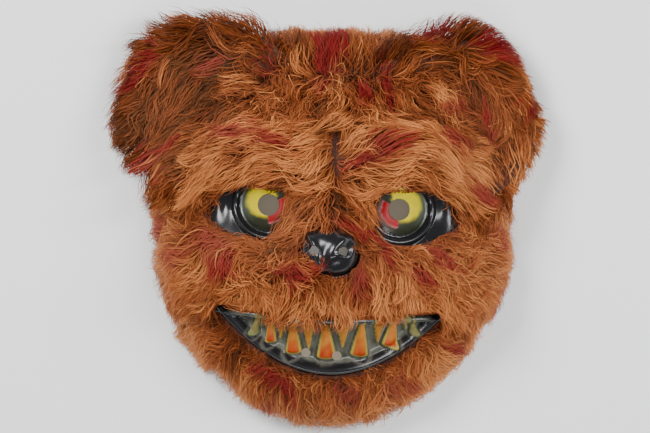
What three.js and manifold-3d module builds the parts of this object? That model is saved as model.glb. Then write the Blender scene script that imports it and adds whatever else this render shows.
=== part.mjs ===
// A furry bear mask: one thin vacuum-formed plastic face with eyes, nose and teeth in relief, covered by
// long-pile plush panels, with two plush ears and an elastic band behind.
// Millimetres. The mask lies on its rim: Z = 0 is the rim's plane, +Z points out of the face and +Y to the crown.
// The face is shaped about X = 0, and at the end everything moves to the middle of its box.

import * as THREE from "three";
import { mergeVertices } from "three/addons/utils/BufferGeometryUtils.js";
import Module from "manifold-3d";

const wasm = await Module();
wasm.setup();

// Driving dimensions

const clearance = 0.3; // gap between pieces that touch
const seamGap = 0.35; // gap between two plush panels along a seam
const floorGap = 1; // plush ends this far above the rim's plane
const lockFloor = 6; // a lock's spine stays this far above the rim's plane

// The face's outline and dome. Its centre is the frame's X = 0, Y = face.centreY.
const face = {
  halfWidth: 98,
  topReach: 112, // centre to the rim at the crown
  chinReach: 116, // centre to the rim at the chin
  centreY: 2,
  depth: 62,
  wall: 1.5,
  topSquareness: 2.7,
  chinSquareness: 2.15,
  rimSpread: 0.9, // how fast the dome spreads towards the rim
  domeFall: 0.75, // how late the dome falls to the rim
};

// Broad forms under the plush, mirrored about X = 0. x and rx are shares of face.halfWidth, y and ry of
// face.chinReach, from the centre, and rise is a share of face.depth.
const broadForms = [
  { name: "muzzle", x: 0, y: -0.28, rx: 0.66, ry: 0.5, rise: 0.3 },
  { name: "brow", x: 0.45, y: 0.36, rx: 0.48, ry: 0.26, rise: 0.2 },
  { name: "cheek", x: 0.66, y: -0.26, rx: 0.42, ry: 0.4, rise: 0.1 },
  { name: "socket", x: 0.57, y: 0.06, rx: 0.37, ry: 0.22, rise: -0.13 },
  { name: "bridge", x: 0, y: 0.06, rx: 0.2, ry: 0.32, rise: 0.1 },
];

const eye = {
  spacing: 84, // between the two pupils
  lift: 9.5, // above the centre
  radius: 17,
  rise: 8,
  pupilBore: 14,
  lidRadius: 21.5,
  lidWidth: 5,
  lidRise: 2.5,
};
// The part of the face that shows round the eye, cut out of the plush.
const socket = {
  inner: 26.5, // from X = 0
  temple: 15, // from its outer corner to the rim's widest place
  top: 22, // above the centre
  bottom: 14, // below the centre
  lean: 0.35, // of its lowest place towards the nose, as a share of its half width
};
const nose = {
  offsetX: -1.5,
  drop: 19, // below the centre
  width: 36,
  height: 30,
  rise: 12,
  squareness: 2.4,
  nostrilSpacing: 18.6,
  nostrilOffsetX: -1,
  nostrilDrop: 0.5,
  nostrilBore: 6.5,
  nostrilDent: 3.5,
  nostrilRadius: 6,
  groove: 1.6,
};
const mouth = {
  cheek: 23, // from a corner to the rim's widest place
  chin: 17, // from the lower lip to the rim
  height: 40,
  cornerLift: 43, // of the corners above the lower lip
  topSag: 4,
  lipWidth: 6.5,
  lipRise: 4.5,
  recess: 2.5,
  toothRise: 4,
  toothTaper: 0.75, // how fast a tooth narrows to its tip
  ventSpacing: 20.2,
  ventOffsetX: -4.5,
  ventLift: 12, // above the lower lip
  ventBore: 6.2,
};
// Teeth. base and tip are shares of the mouth's half width, from its middle. from and to say how far up the
// mouth the base and tip are, as shares of its height there. wide is a share of the half width.
const teeth = [
  { base: -0.65, tip: -0.6, from: 0.3, to: 1.0, wide: 0.05 },
  { base: -0.56, tip: -0.59, from: 1.0, to: 0.52, wide: 0.035 },
  { base: -0.5, tip: -0.51, from: 0.31, to: 0.98, wide: 0.062 },
  { base: -0.4, tip: -0.42, from: 1.0, to: 0.42, wide: 0.05 },
  { base: -0.3, tip: -0.32, from: 0.26, to: 0.92, wide: 0.088 },
  { base: -0.19, tip: -0.17, from: 1.0, to: 0.36, wide: 0.08 },
  { base: -0.015, tip: -0.035, from: 0.27, to: 0.92, wide: 0.105 },
  { base: 0.12, tip: 0.12, from: 1.0, to: 0.42, wide: 0.085 },
  { base: 0.265, tip: 0.285, from: 0.27, to: 0.94, wide: 0.095 },
  { base: 0.43, tip: 0.42, from: 1.0, to: 0.42, wide: 0.07 },
  { base: 0.525, tip: 0.56, from: 0.28, to: 0.97, wide: 0.085 },
  { base: 0.66, tip: 0.65, from: 1.0, to: 0.5, wide: 0.04 },
  { base: 0.73, tip: 0.71, from: 0.31, to: 0.95, wide: 0.045 },
];

const plush = {
  body: 11, // cloth and packed pile, under the loose locks
  cutShare: 0.4, // of that at the edge of an opening, where the pile is shorn
  cutWidth: 15, // of the slope from there to the full thickness
  sink: 2, // of a lock's root into the body
  crownSeam: 66, // above the centre, at X = 0
  crownSeamFall: 8, // of that seam at the sides
  browSeam: 27, // above the centre, at X = 0
  browSeamFall: 12, // of that seam at the sides
};
// Locks of each panel, and how far apart their roots are.
const lockSizes = {
  crown: { length: 27, width: 25, height: 5.5 },
  brow: { length: 32, width: 22, height: 5 },
  face: { length: 28, width: 24, height: 5.5 },
  rim: { length: 23, width: 30, height: 6 },
  ear: { length: 25, width: 32, height: 6 },
};
const lockPitch = { face: 25, rim: 30, ear: 29 };

const ears = [
  { name: "ear_left", side: -1, reach: 72 }, // from the root line to the ear's edge
  { name: "ear_right", side: 1, reach: 65 },
];
// Rows of locks on the front of an ear: how far out, as a share of its reach, and how many.
const earRows = [
  { share: 0.36, count: 3 },
  { share: 0.62, count: 2 },
];
const ear = {
  topAngle: 108, // where the left ear's root starts and ends on the rim, in degrees
  sideAngle: 169,
  rootShare: 0.9, // of the rim's radius
  rootHeight: 36,
  edgeHeight: 16,
  thickness: 14,
  cup: 10,
  tail: 24, // of the ear's root, inside the head before it is trimmed
};

const strap = {
  width: 10,
  thickness: 1.2,
  anchorAngle: 12, // above the face's widest line, in degrees
  tab: 0.08, // share of the band that lies along the wall at each end
  inset: 7,
  steps: 32,
};

// Colours, from the photograph
const plushBrown = 0xa85a28;
const crownBrown = 0x94501f;
const earBrown = 0x9a5426;
const browGold = 0xc07a3c;
const faceBlack = 0x17171a;
const strapBlack = 0x1d1d1f;

const far = 400; // past the model on every side
const degrees = Math.PI / 180;

// Small helpers

const clamp = (v, low, high) => Math.min(high, Math.max(low, v));
const smooth = (t) => t * t * (3 - 2 * t);
const mix = (a, b, t) => a + (b - a) * t;
const bell = (u, v) => smooth(clamp(1 - Math.hypot(u, v), 0, 1));
// A number from 0 to 1 that depends only on the two it is given.
const vary = (a, b) => {
  const wave = Math.sin(a * 12.9898 + b * 78.233) * 43758.5453;
  return wave - Math.floor(wave);
};

function solidOf(geometry) {
  const plain = geometry.clone();
  plain.deleteAttribute("normal");
  plain.deleteAttribute("uv");
  const merged = mergeVertices(plain, 1e-4);
  return new wasm.Manifold(
    new wasm.Mesh({
      numProp: 3,
      vertProperties: new Float32Array(merged.attributes.position.array),
      triVerts: new Uint32Array(merged.index.array),
    }),
  );
}

function indexedGeometry(points, triangles) {
  const geometry = new THREE.BufferGeometry();
  const numbers = points.flatMap((p) => [p.x, p.y, p.z]);
  geometry.setAttribute("position", new THREE.Float32BufferAttribute(numbers, 3));
  geometry.setIndex(triangles.flat());
  return geometry;
}

function unite(solids) {
  return solids.reduce((all, next) => all.add(next));
}

function largestBody(solid) {
  return solid.decompose().reduce((best, next) => (next.volume() > best.volume() ? next : best));
}

function block(low, high) {
  const box = new THREE.BoxGeometry(high.x - low.x, high.y - low.y, high.z - low.z);
  box.translate((high.x + low.x) / 2, (high.y + low.y) / 2, (high.z + low.z) / 2);
  return solidOf(box);
}

// A prism through the whole model, along Z.
function prism(outline) {
  const deep = new THREE.ExtrudeGeometry(new THREE.Shape(outline), { depth: 2 * far, bevelEnabled: false });
  deep.translate(0, 0, -far);
  return solidOf(deep);
}

function bore(x, y, diameter) {
  const drill = new THREE.CylinderGeometry(diameter / 2, diameter / 2, 2 * far, 20);
  drill.rotateX(Math.PI / 2);
  drill.translate(x, y, 0);
  return solidOf(drill);
}

// Lofts rings of equally many points to one solid. A last ring of one point makes a tip.
function loft(rings) {
  const points = rings.flat();
  const sides = rings[0].length;
  const triangles = [];
  for (let i = 1; i + 1 < sides; i++) triangles.push([0, i + 1, i]);
  for (let k = 0; k + 1 < rings.length; k++) {
    const here = k * sides;
    const next = here + sides;
    for (let i = 0; i < sides; i++) {
      const j = (i + 1) % sides;
      if (rings[k + 1].length === 1) {
        triangles.push([here + i, here + j, next]);
      } else {
        triangles.push([here + i, here + j, next + j], [here + i, next + j, next + i]);
      }
    }
  }
  const last = rings[rings.length - 1];
  const start = points.length - last.length;
  for (let i = 1; i + 1 < last.length; i++) triangles.push([start, start + i, start + i + 1]);
  return solidOf(indexedGeometry(points, triangles));
}

// The face's surface

function rimRadius(angle) {
  const across = Math.abs(Math.cos(angle)) / face.halfWidth;
  const up = Math.abs(Math.sin(angle));
  const crown = Math.sin(angle) > 0;
  const along = up / (crown ? face.topReach : face.chinReach);
  const power = crown ? face.topSquareness : face.chinSquareness;
  return (across ** power + along ** power) ** (-1 / power);
}

// 0 at the face's centre, 1 at the rim.
function rimShare(x, y) {
  return Math.hypot(x, y - face.centreY) / rimRadius(Math.atan2(y - face.centreY, x));
}

function broadRise(x, y) {
  const u = Math.abs(x) / face.halfWidth;
  const v = (y - face.centreY) / face.chinReach;
  const rises = broadForms.map((f) => f.rise * bell((u - f.x) / f.rx, (v - f.y) / f.ry));
  return face.depth * rises.reduce((a, b) => a + b);
}

// Every place on the face is a pair (a, b) in the unit disc, whose edge is the rim.
function discOf(x, y) {
  const angle = Math.atan2(y - face.centreY, x);
  const share = clamp(rimShare(x, y), 0, 1);
  const r = Math.asin(share ** (1 / face.rimSpread)) / (Math.PI / 2);
  return { a: r * Math.cos(angle), b: r * Math.sin(angle) };
}

function formPoint(a, b) {
  const angle = Math.atan2(b, a);
  const lean = Math.min(1, Math.hypot(a, b)) * (Math.PI / 2);
  const reach = rimRadius(angle) * Math.sin(lean) ** face.rimSpread;
  const level = Math.max(0, Math.cos(lean));
  const x = reach * Math.cos(angle);
  const y = face.centreY + reach * Math.sin(angle);
  const z = face.depth * level ** face.domeFall + Math.sqrt(level) * broadRise(x, y);
  return new THREE.Vector3(x, y, z);
}

function formNormal(a, b) {
  const step = 0.002;
  const r = Math.hypot(a, b);
  if (r > 0.999) {
    const angle = Math.atan2(b, a);
    const ahead = formPoint(Math.cos(angle + step), Math.sin(angle + step));
    const behind = formPoint(Math.cos(angle - step), Math.sin(angle - step));
    return new THREE.Vector3(ahead.y - behind.y, behind.x - ahead.x, 0).normalize();
  }
  const inside = Math.min(1, (1 - 2 * step) / Math.max(r, step));
  const [u, v] = [a * inside, b * inside];
  const alongA = formPoint(u + step, v).sub(formPoint(u - step, v));
  const alongB = formPoint(u, v + step).sub(formPoint(u, v - step));
  return alongA.cross(alongB).normalize();
}

const eyeCentre = { x: eye.spacing / 2, y: face.centreY + eye.lift };
const socketOutline = {
  x: (socket.inner + face.halfWidth - socket.temple) / 2,
  y: face.centreY + (socket.top - socket.bottom) / 2,
  rx: (face.halfWidth - socket.temple - socket.inner) / 2,
  ry: (socket.top + socket.bottom) / 2,
};
const noseCentre = { x: nose.offsetX, y: face.centreY - nose.drop };
const nostrils = [-1, 1].map((side) => ({
  x: noseCentre.x + nose.nostrilOffsetX + (side * nose.nostrilSpacing) / 2,
  y: noseCentre.y + nose.nostrilDrop,
}));
const mouthHalf = face.halfWidth - mouth.cheek;
const lipBottom = face.centreY - face.chinReach + mouth.chin;
const lowerLip = (x) => lipBottom + mouth.cornerLift * (x / mouthHalf) ** 2;
const upperLip = (x) => lipBottom + mouth.height + mouth.topSag * (x / mouthHalf) ** 2;
const vents = [-1, 1].map((side) => {
  const x = mouth.ventOffsetX + (side * mouth.ventSpacing) / 2;
  return { x, y: lowerLip(x) + mouth.ventLift };
});

// How far the lower lip's edge leans at x, so that widths are measured square to it.
function lipSquare(x) {
  return 1 / Math.hypot(1, (2 * mouth.cornerLift * x) / mouthHalf ** 2);
}

// Relief of the eyeball and the ridge of the lid below and outside it.
function eyeRelief(x, y) {
  const dx = Math.abs(x) - eyeCentre.x;
  const dy = y - eyeCentre.y;
  const away = Math.hypot(dx, dy);
  if (away < eye.radius) return eye.rise * Math.sqrt(1 - (away / eye.radius) ** 2);
  const side = smooth(clamp(0.5 + (dx * 0.5 - dy) / (1.6 * away), 0, 1));
  const ridge = 1 - (2 * (away - eye.lidRadius)) ** 2 / eye.lidWidth ** 2;
  return eye.lidRise * side * Math.max(0, ridge);
}

function noseEdge(x, y) {
  const across = Math.abs(x - noseCentre.x) / (nose.width / 2);
  const up = Math.abs(y - noseCentre.y) / (nose.height / 2);
  return Math.hypot(across ** (nose.squareness / 2), up ** (nose.squareness / 2)) ** (2 / nose.squareness);
}

function noseRelief(x, y) {
  const edge = noseEdge(x, y);
  if (edge >= 1) return 0;
  const dents = nostrils.map((n) => {
    const near = bell((x - n.x) / nose.nostrilRadius, (y - n.y) / nose.nostrilRadius);
    return nose.nostrilDent * near;
  });
  const below = clamp((noseCentre.y + nose.height / 6 - y) / nose.height, 0, 1);
  const cleft = nose.groove * bell((x - noseCentre.x - nose.nostrilOffsetX) / 3, 0) * 2 * below;
  return nose.rise * (1 - edge ** 2.4) ** 0.6 - dents[0] - dents[1] - cleft;
}

function toothPlace(tooth, t) {
  const x = mouthHalf * mix(tooth.base, tooth.tip, t);
  const y = mix(lowerLip(x), upperLip(x), mix(tooth.from, tooth.to, t));
  return new THREE.Vector2(x, y);
}

// Half a tooth's width at t, without the rounding at its base.
const toothHalf = (tooth, t) => mouthHalf * tooth.wide * Math.max(0, 1 - t) ** mouth.toothTaper;

// How far (x, y) is into a tooth: 1 on its middle line, 0 at its edge or outside.
function toothDepth(tooth, x, y) {
  const base = toothPlace(tooth, 0);
  const along = toothPlace(tooth, 1).sub(base);
  const from = new THREE.Vector2(x, y).sub(base);
  const t = from.dot(along) / along.lengthSq();
  if (t < -0.15 || t > 1) return 0;
  const half = toothHalf(tooth, t) * Math.min(1, 0.55 + 3 * (t + 0.15));
  const aside = Math.abs(from.cross(along)) / along.length();
  const end = Math.min(1, (t + 0.15) * 5);
  return aside < half ? Math.sqrt(1 - (aside / half) ** 2) * end : 0;
}

function mouthRelief(x, y) {
  if (Math.abs(x) >= mouthHalf) return 0;
  const low = (y - lowerLip(x)) * lipSquare(x);
  const high = upperLip(x) - y;
  if (low <= 0 || high <= 0) return 0;
  const lip = Math.max(
    Math.sin(Math.PI * Math.min(1, low / mouth.lipWidth)),
    Math.sin(Math.PI * Math.min(1, high / mouth.lipWidth)),
  );
  const inside = smooth(clamp((Math.min(low, high) - mouth.lipWidth / 2) / mouth.lipWidth, 0, 1));
  const tooth = Math.max(...teeth.map((t) => toothDepth(t, x, y)));
  return mouth.lipRise * lip - mouth.recess * inside + mouth.toothRise * tooth * inside;
}

const relief = (x, y) => eyeRelief(x, y) + noseRelief(x, y) + mouthRelief(x, y);

// Triangles between scattered points

// The Delaunay triangles of points with x and y, counterclockwise, by adding one point at a time.
function delaunay(points) {
  const nudge = 1e-3; // so that no four points lie on one circle
  const nudged = points.map((p, i) => ({ x: p.x + nudge * vary(i, 1), y: p.y + nudge * vary(i, 2) }));
  const all = [...nudged, { x: -far * 20, y: -far * 20 }, { x: far * 20, y: -far * 20 }, { x: 0, y: far * 20 }];
  const count = points.length;
  const circle = (i, j, k) => {
    const [p, q, r] = [all[i], all[j], all[k]];
    const d = 2 * (p.x * (q.y - r.y) + q.x * (r.y - p.y) + r.x * (p.y - q.y));
    const [pp, qq, rr] = [p, q, r].map((o) => o.x * o.x + o.y * o.y);
    const x = (pp * (q.y - r.y) + qq * (r.y - p.y) + rr * (p.y - q.y)) / d;
    const y = (pp * (r.x - q.x) + qq * (p.x - r.x) + rr * (q.x - p.x)) / d;
    return { ids: [i, j, k], x, y, reach: (p.x - x) ** 2 + (p.y - y) ** 2 };
  };
  let triangles = [circle(count, count + 1, count + 2)];
  for (let i = 0; i < count; i++) {
    const p = all[i];
    const hit = triangles.filter((t) => (p.x - t.x) ** 2 + (p.y - t.y) ** 2 < t.reach);
    const edges = new Map();
    for (const { ids } of hit) {
      for (let k = 0; k < 3; k++) {
        const [from, to] = [ids[k], ids[(k + 1) % 3]];
        if (!edges.delete(`${to},${from}`)) edges.set(`${from},${to}`, [from, to]);
      }
    }
    const gone = new Set(hit);
    triangles = triangles.filter((t) => !gone.has(t));
    for (const [from, to] of edges.values()) triangles.push(circle(from, to, i));
  }
  return triangles.map((t) => t.ids).filter((ids) => ids.every((i) => i < count));
}

const discScale = 100; // the disc's radius while points are spaced and joined
// Mesh of the open ground, in those units: between its own places, and from them to any other place.
const ground = {
  shell: { pitch: 17, gap: 10 },
  plush: { pitch: 20, gap: 12, edgeGap: 7 },
};

// Collects places on the face, and leaves out one that is too close to an earlier one.
function placeCollector() {
  const places = [];
  const add = (a, b, spacing) => {
    const x = a * discScale;
    const y = b * discScale;
    if (places.some((p) => Math.hypot(p.x - x, p.y - y) < spacing)) return;
    places.push({ x, y });
  };
  const addAt = (x, y, spacing) => {
    if (rimShare(x, y) > 0.995) return;
    const { a, b } = discOf(x, y);
    add(a, b, spacing);
  };
  return { places, add, addAt };
}

function addRings(collector, shares, count) {
  for (const [k, share] of shares.entries()) {
    for (let i = 0; i < count; i++) {
      const angle = ((i + (k % 2) / 2) / count) * 2 * Math.PI;
      collector.add(share * Math.cos(angle), share * Math.sin(angle), 1);
    }
  }
}

function addGrid(collector, { pitch, gap }) {
  const rows = Math.ceil(discScale / pitch / 0.866);
  for (let j = -rows; j <= rows; j++) {
    for (let i = -rows; i <= rows; i++) {
      const x = (i + (j % 2 ? 0.5 : 0)) * pitch;
      const y = j * pitch * 0.866;
      if (Math.hypot(x, y) < discScale * 0.8) collector.add(x / discScale, y / discScale, gap);
    }
  }
}

// Fine places: along every edge of the relief.
function facePlaces() {
  const collector = placeCollector();
  addRings(collector, [1, 0.93, 0.84], 44);
  for (const side of [-1, 1]) {
    const around = (radius, count) => {
      for (let i = 0; i < count; i++) {
        const angle = (i / count) * 2 * Math.PI;
        const [dx, dy] = [Math.cos(angle) * radius, Math.sin(angle) * radius];
        collector.addAt(side * (eyeCentre.x + dx), eyeCentre.y + dy, 1);
      }
    };
    around(eye.radius * 0.7, 11);
    around(eye.radius * 0.995, 18);
    around(eye.lidRadius - eye.lidWidth / 2, 16);
    around(eye.lidRadius, 16);
    around(eye.lidRadius + eye.lidWidth / 2, 14);
  }
  for (const [share, count] of [[1.02, 18], [0.9, 18], [0.55, 11], [0.2, 5]]) {
    for (let i = 0; i < count; i++) {
      const angle = (i / count) * 2 * Math.PI;
      const bulge = share / noseEdge(noseCentre.x + Math.cos(angle), noseCentre.y + Math.sin(angle));
      collector.addAt(noseCentre.x + bulge * Math.cos(angle), noseCentre.y + bulge * Math.sin(angle), 1.2);
    }
  }
  for (const tooth of teeth) {
    for (const t of [0.02, 0.35, 0.7, 1]) {
      const middle = toothPlace(tooth, t);
      collector.addAt(middle.x, middle.y, 0.8);
      const half = toothHalf(tooth, t);
      if (half > 1) {
        collector.addAt(middle.x - half, middle.y, 0.8);
        collector.addAt(middle.x + half, middle.y, 0.8);
      }
    }
  }
  const stations = 26;
  for (let i = 1; i < stations; i++) {
    const x = mouthHalf * (-1 + (2 * i) / stations);
    const up = (share) => lowerLip(x) + (mouth.lipWidth * share) / lipSquare(x);
    for (const share of [0, 0.5, 1, 1.5]) collector.addAt(x, up(share), 1.4);
    if (i % 2) collector.addAt(x, upperLip(x) - mouth.lipWidth / 2, 2);
    if (i % 2) collector.addAt(x, upperLip(x), 2);
  }
  addGrid(collector, ground.shell);
  return collector.places;
}

// Coarse places, for the plush: its open ground, and both ends of the slope round each opening.
function plushPlaces() {
  const collector = placeCollector();
  addRings(collector, [1, 0.9, 0.78], 30);
  for (const [more, count] of [[0, 12], [plush.cutWidth, 12]]) {
    for (const outline of openingOutlines(more, count)) {
      for (const p of outline) collector.addAt(p.x, p.y, ground.plush.edgeGap);
    }
  }
  addGrid(collector, ground.plush);
  return collector.places;
}

// A solid from below the rim's plane up to the face's surface, which it passes by the offset.
function filled(places, offset, riseOf) {
  const triangles = delaunay(places);
  const surface = places.map((p) => {
    const [a, b] = [p.x / discScale, p.y / discScale];
    const at = formPoint(a, b);
    return at.clone().addScaledVector(formNormal(a, b), offset + riseOf(at.x, at.y));
  });
  const loop = places
    .map((p, i) => ({ i, angle: Math.atan2(p.y, p.x), edge: Math.hypot(p.x, p.y) > discScale * 0.999 }))
    .filter((p) => p.edge)
    .sort((p, q) => p.angle - q.angle)
    .map((p) => p.i);
  const below = -far / 10;
  const feet = loop.map((i) => new THREE.Vector3(surface[i].x, surface[i].y, below));
  const points = [...surface, ...feet, new THREE.Vector3(0, face.centreY, below)];
  const middle = points.length - 1;
  loop.forEach((top, k) => {
    const next = (k + 1) % loop.length;
    const [foot, nextFoot] = [places.length + k, places.length + next];
    triangles.push([foot, nextFoot, loop[next]], [foot, loop[next], top], [middle, nextFoot, foot]);
  });
  return solidOf(indexedGeometry(points, triangles));
}

const under = (height) => block({ x: -far, y: -far, z: -far }, { x: far, y: far, z: height });

// The plastic face

const fine = facePlaces();
const core = filled(fine, clearance, relief); // what the plush has to stay out of

function faceShell() {
  const outer = filled(fine, 0, relief);
  const inner = filled(fine, -face.wall, relief);
  const holes = [
    bore(-eyeCentre.x, eyeCentre.y, eye.pupilBore),
    bore(eyeCentre.x, eyeCentre.y, eye.pupilBore),
    ...nostrils.map((n) => bore(n.x, n.y, nose.nostrilBore)),
    ...vents.map((v) => bore(v.x, v.y, mouth.ventBore)),
  ];
  return largestBody(outer.subtract(inner).subtract(under(0)).subtract(unite(holes)));
}

// The openings in the plush

function ovalOutline(x, y, rx, ry, count) {
  return Array.from({ length: count }, (_, i) => {
    const angle = (i / count) * 2 * Math.PI;
    return new THREE.Vector2(x + rx * Math.cos(angle), y + ry * Math.sin(angle));
  });
}

function noseOutline(more, count) {
  return ovalOutline(noseCentre.x, noseCentre.y, 1, 1, count).map((p) => {
    const bulge = (1.03 + (2 * more) / nose.height) / noseEdge(p.x, p.y);
    return new THREE.Vector2(mix(noseCentre.x, p.x, bulge), mix(noseCentre.y, p.y, bulge));
  });
}

function mouthOutline(more, count) {
  const reach = mouthHalf * 0.99 + more;
  const at = (i) => reach * (-1 + (2 * i) / count);
  const drop = more + clearance;
  const low = Array.from({ length: count + 1 }, (_, i) => new THREE.Vector2(at(i), lowerLip(at(i)) - drop));
  const high = low.map((p) => new THREE.Vector2(p.x, Math.max(p.y + 1, upperLip(p.x) + drop))).reverse();
  return [...low, ...high];
}

function socketEdge(sideSign, more, count) {
  const { x, y, rx, ry } = socketOutline;
  return ovalOutline(x, y, rx + more, ry + more, count).map((p) => {
    const lean = socket.lean * rx * Math.max(0, (y - p.y) / ry);
    return new THREE.Vector2(sideSign * (p.x - lean), p.y);
  });
}

// Both sockets, the nose and the mouth, wider by more on all sides.
function openingOutlines(more, count) {
  return [
    socketEdge(-1, more, count).reverse(),
    socketEdge(1, more, count),
    noseOutline(more, count),
    mouthOutline(more, count),
  ];
}

// How far (x, y) is outside the nearest opening, in millimetres.
function openingDistance(x, y) {
  const { rx, ry } = socketOutline;
  const v = (y - socketOutline.y) / ry;
  const u = (Math.abs(x) - socketOutline.x) / rx + socket.lean * Math.max(0, -v);
  const toSocket = (Math.hypot(u, v) - 1) * ry;
  const toNose = ((noseEdge(x, y) - 1) * nose.height) / 2;
  const aside = Math.abs(x) - mouthHalf;
  const toMouth = Math.max(lowerLip(x) - y, y - Math.max(upperLip(x), lowerLip(x)), aside);
  return Math.max(0, Math.min(toSocket, toNose, toMouth));
}

// The plush

const plushTop = (x, y) => {
  const share = smooth(clamp(openingDistance(x, y) / plush.cutWidth, 0, 1));
  return clearance + plush.body * mix(plush.cutShare, 1, share);
};
const coarse = plushPlaces();

const crownSeam = (x) => face.centreY + plush.crownSeam - plush.crownSeamFall * (x / face.halfWidth) ** 2;
const browSeam = (x) => face.centreY + plush.browSeam - plush.browSeamFall * (x / face.halfWidth) ** 2;

// A panel's outline between two seams, with half a seam's gap left free along each.
function between(low, high, left, right) {
  const steps = 12;
  const at = (i) => mix(left, right, i / steps);
  const lower = Array.from({ length: steps + 1 }, (_, i) => new THREE.Vector2(at(i), low(at(i)) + seamGap / 2));
  const upper = lower.map((p) => new THREE.Vector2(p.x, high(p.x) - seamGap / 2)).reverse();
  return [...lower, ...upper];
}

const flank = face.halfWidth * 1.35;
const panels = {
  face: () => between(() => -far, browSeam, -flank, flank),
  browLeft: () => between(browSeam, crownSeam, -flank, -seamGap / 2),
  browRight: () => between(browSeam, crownSeam, seamGap / 2, flank),
  crown: () => between(crownSeam, () => far, -flank, flank),
};

const openings = unite(openingOutlines(0, 18).map(prism));

// The way the pile lies at (x, y), as seen from the front.
function pileFlow(x, y) {
  const height = (y - face.centreY) / face.chinReach;
  const aside = x / face.halfWidth;
  if (y > crownSeam(x)) {
    const up = smooth(clamp((height - 0.72) / 0.2, 0, 1));
    return new THREE.Vector2(aside * 1.2, mix(-1, 1, up)).normalize();
  }
  if (y > browSeam(x)) {
    const lift = x > 0 ? 0.9 * (1 - 2.2 * Math.abs(aside)) : -0.35;
    return new THREE.Vector2(Math.sign(x), lift - 0.25).normalize();
  }
  const spread = aside * (1 + 1.4 * Math.abs(aside));
  return new THREE.Vector2(spread, -1).normalize();
}

// Sections of a lock from its root to its tip: shares of its length, its width, and its height above and below
// its spine.
const lockSections = [
  { along: -0.12, wide: 0.8, above: 0.7, below: 0.6 },
  { along: 0.3, wide: 1, above: 1, below: 0.7 },
  { along: 0.68, wide: 0.66, above: 0.7, below: 0.3 },
  { along: 1, wide: 0, above: 0, below: 0 },
];

// A three-sided tapering tongue of plush through one spot for each section, grown on all sides by grow.
function tongue(spots, lie, up, size, grow) {
  const across = new THREE.Vector3().crossVectors(up, lie).normalize();
  const rings = lockSections.map((s, i) => {
    const spot = spots[i];
    if (s.wide === 0) {
      const ahead = spot.clone().sub(spots[i - 1]).normalize();
      return [spot.clone().addScaledVector(ahead, 3 * grow)];
    }
    const half = (s.wide * size.width) / 2 + 3 * grow;
    const base = -s.below * size.height - grow;
    return [
      spot.clone().addScaledVector(across, -half).addScaledVector(up, base),
      spot.clone().addScaledVector(across, half).addScaledVector(up, base),
      spot.clone().addScaledVector(up, s.above * size.height + 1.5 * grow),
    ];
  });
  return loft(rings);
}

// A lock rooted in the plush's body at the disc place (a, b), which follows the body as it lies down.
function lock(a, b, flow, size, grow, turn) {
  const normal = formNormal(a, b);
  const foot = formPoint(a, b);
  const root = foot.clone().addScaledVector(normal, plushTop(foot.x, foot.y));
  const lie = new THREE.Vector3(flow.x, flow.y, 0).applyAxisAngle(new THREE.Vector3(0, 0, 1), turn);
  const steep = 1 - clamp(normal.z, 0, 1);
  lie.addScaledVector(normal, -lie.dot(normal) * (1 - 0.4 * steep));
  lie.z -= 0.5 * steep;
  lie.normalize();
  const lifts = [-plush.sink, -0.5, 0.6, 0.4];
  const spots = lockSections.map((s, i) => {
    const at = root.clone().addScaledVector(lie, s.along * size.length);
    if (rimShare(at.x, at.y) < 0.9 && normal.z > 0.6) {
      const { a: u, b: v } = discOf(at.x, at.y);
      const bed = formPoint(u, v).addScaledVector(formNormal(u, v), plushTop(at.x, at.y));
      at.z = mix(at.z, bed.z, 0.8);
    }
    at.addScaledVector(normal, lifts[i]);
    return at.setZ(Math.max(at.z, lockFloor));
  });
  return tongue(spots, lie, normal, size, grow);
}

// Roots in staggered rows over the face, and two rings of them low on its side.
function rootPlaces() {
  const roots = [];
  const pitch = lockPitch.face;
  const rows = Math.ceil((face.topReach + face.chinReach) / pitch);
  for (let j = -rows; j <= rows; j++) {
    for (let i = -rows; i <= rows; i++) {
      const x = (i + (j % 2 ? 0.5 : 0) + 0.3 * (vary(i, j) - 0.5)) * pitch;
      const y = face.centreY + (j + 0.3 * (vary(j, i) - 0.5)) * pitch * 0.9;
      if (rimShare(x, y) > 0.88 || openingDistance(x, y) < 5) continue;
      roots.push({ ...discOf(x, y), rim: false, seed: i * 7 + j * 31 });
    }
  }
  const count = Math.round((Math.PI * (face.halfWidth + face.chinReach)) / lockPitch.rim);
  for (const [k, share] of [0.75, 0.88].entries()) {
    for (let i = 0; i < count; i++) {
      const angle = ((i + k / 2) / count) * 2 * Math.PI;
      roots.push({ a: share * Math.cos(angle), b: share * Math.sin(angle), rim: true, seed: i + count * k });
    }
  }
  return roots;
}

function panelAt(x, y) {
  if (y > crownSeam(x)) return "crown";
  if (y < browSeam(x)) return "face";
  return x < 0 ? "browLeft" : "browRight";
}

function underEar(angle) {
  const turned = (Math.atan2(Math.sin(angle), Math.abs(Math.cos(angle))) / degrees + 360) % 360;
  return turned > 180 - ear.sideAngle + 4 && turned < 180 - ear.topAngle - 4;
}

function panelLocks(panel, grow) {
  return rootPlaces().flatMap((root) => {
    const at = formPoint(root.a, root.b);
    if (panelAt(at.x, at.y) !== panel) return [];
    if (root.rim && underEar(Math.atan2(root.b, root.a))) return [];
    const kind = root.rim ? "rim" : panel.startsWith("brow") ? "brow" : panel;
    const out = new THREE.Vector2(root.a, root.b).normalize();
    const flow = root.rim ? pileFlow(at.x, at.y).add(out.multiplyScalar(0.9)).normalize() : pileFlow(at.x, at.y);
    return [lock(root.a, root.b, flow, lockSizes[kind], grow, 0.5 * (vary(root.seed, 3) - 0.5))];
  });
}

const plushBody = filled(coarse, 0, plushTop).subtract(under(floorGap));
const plushBodyGrown = filled(coarse, clearance, plushTop).subtract(under(floorGap));

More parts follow.
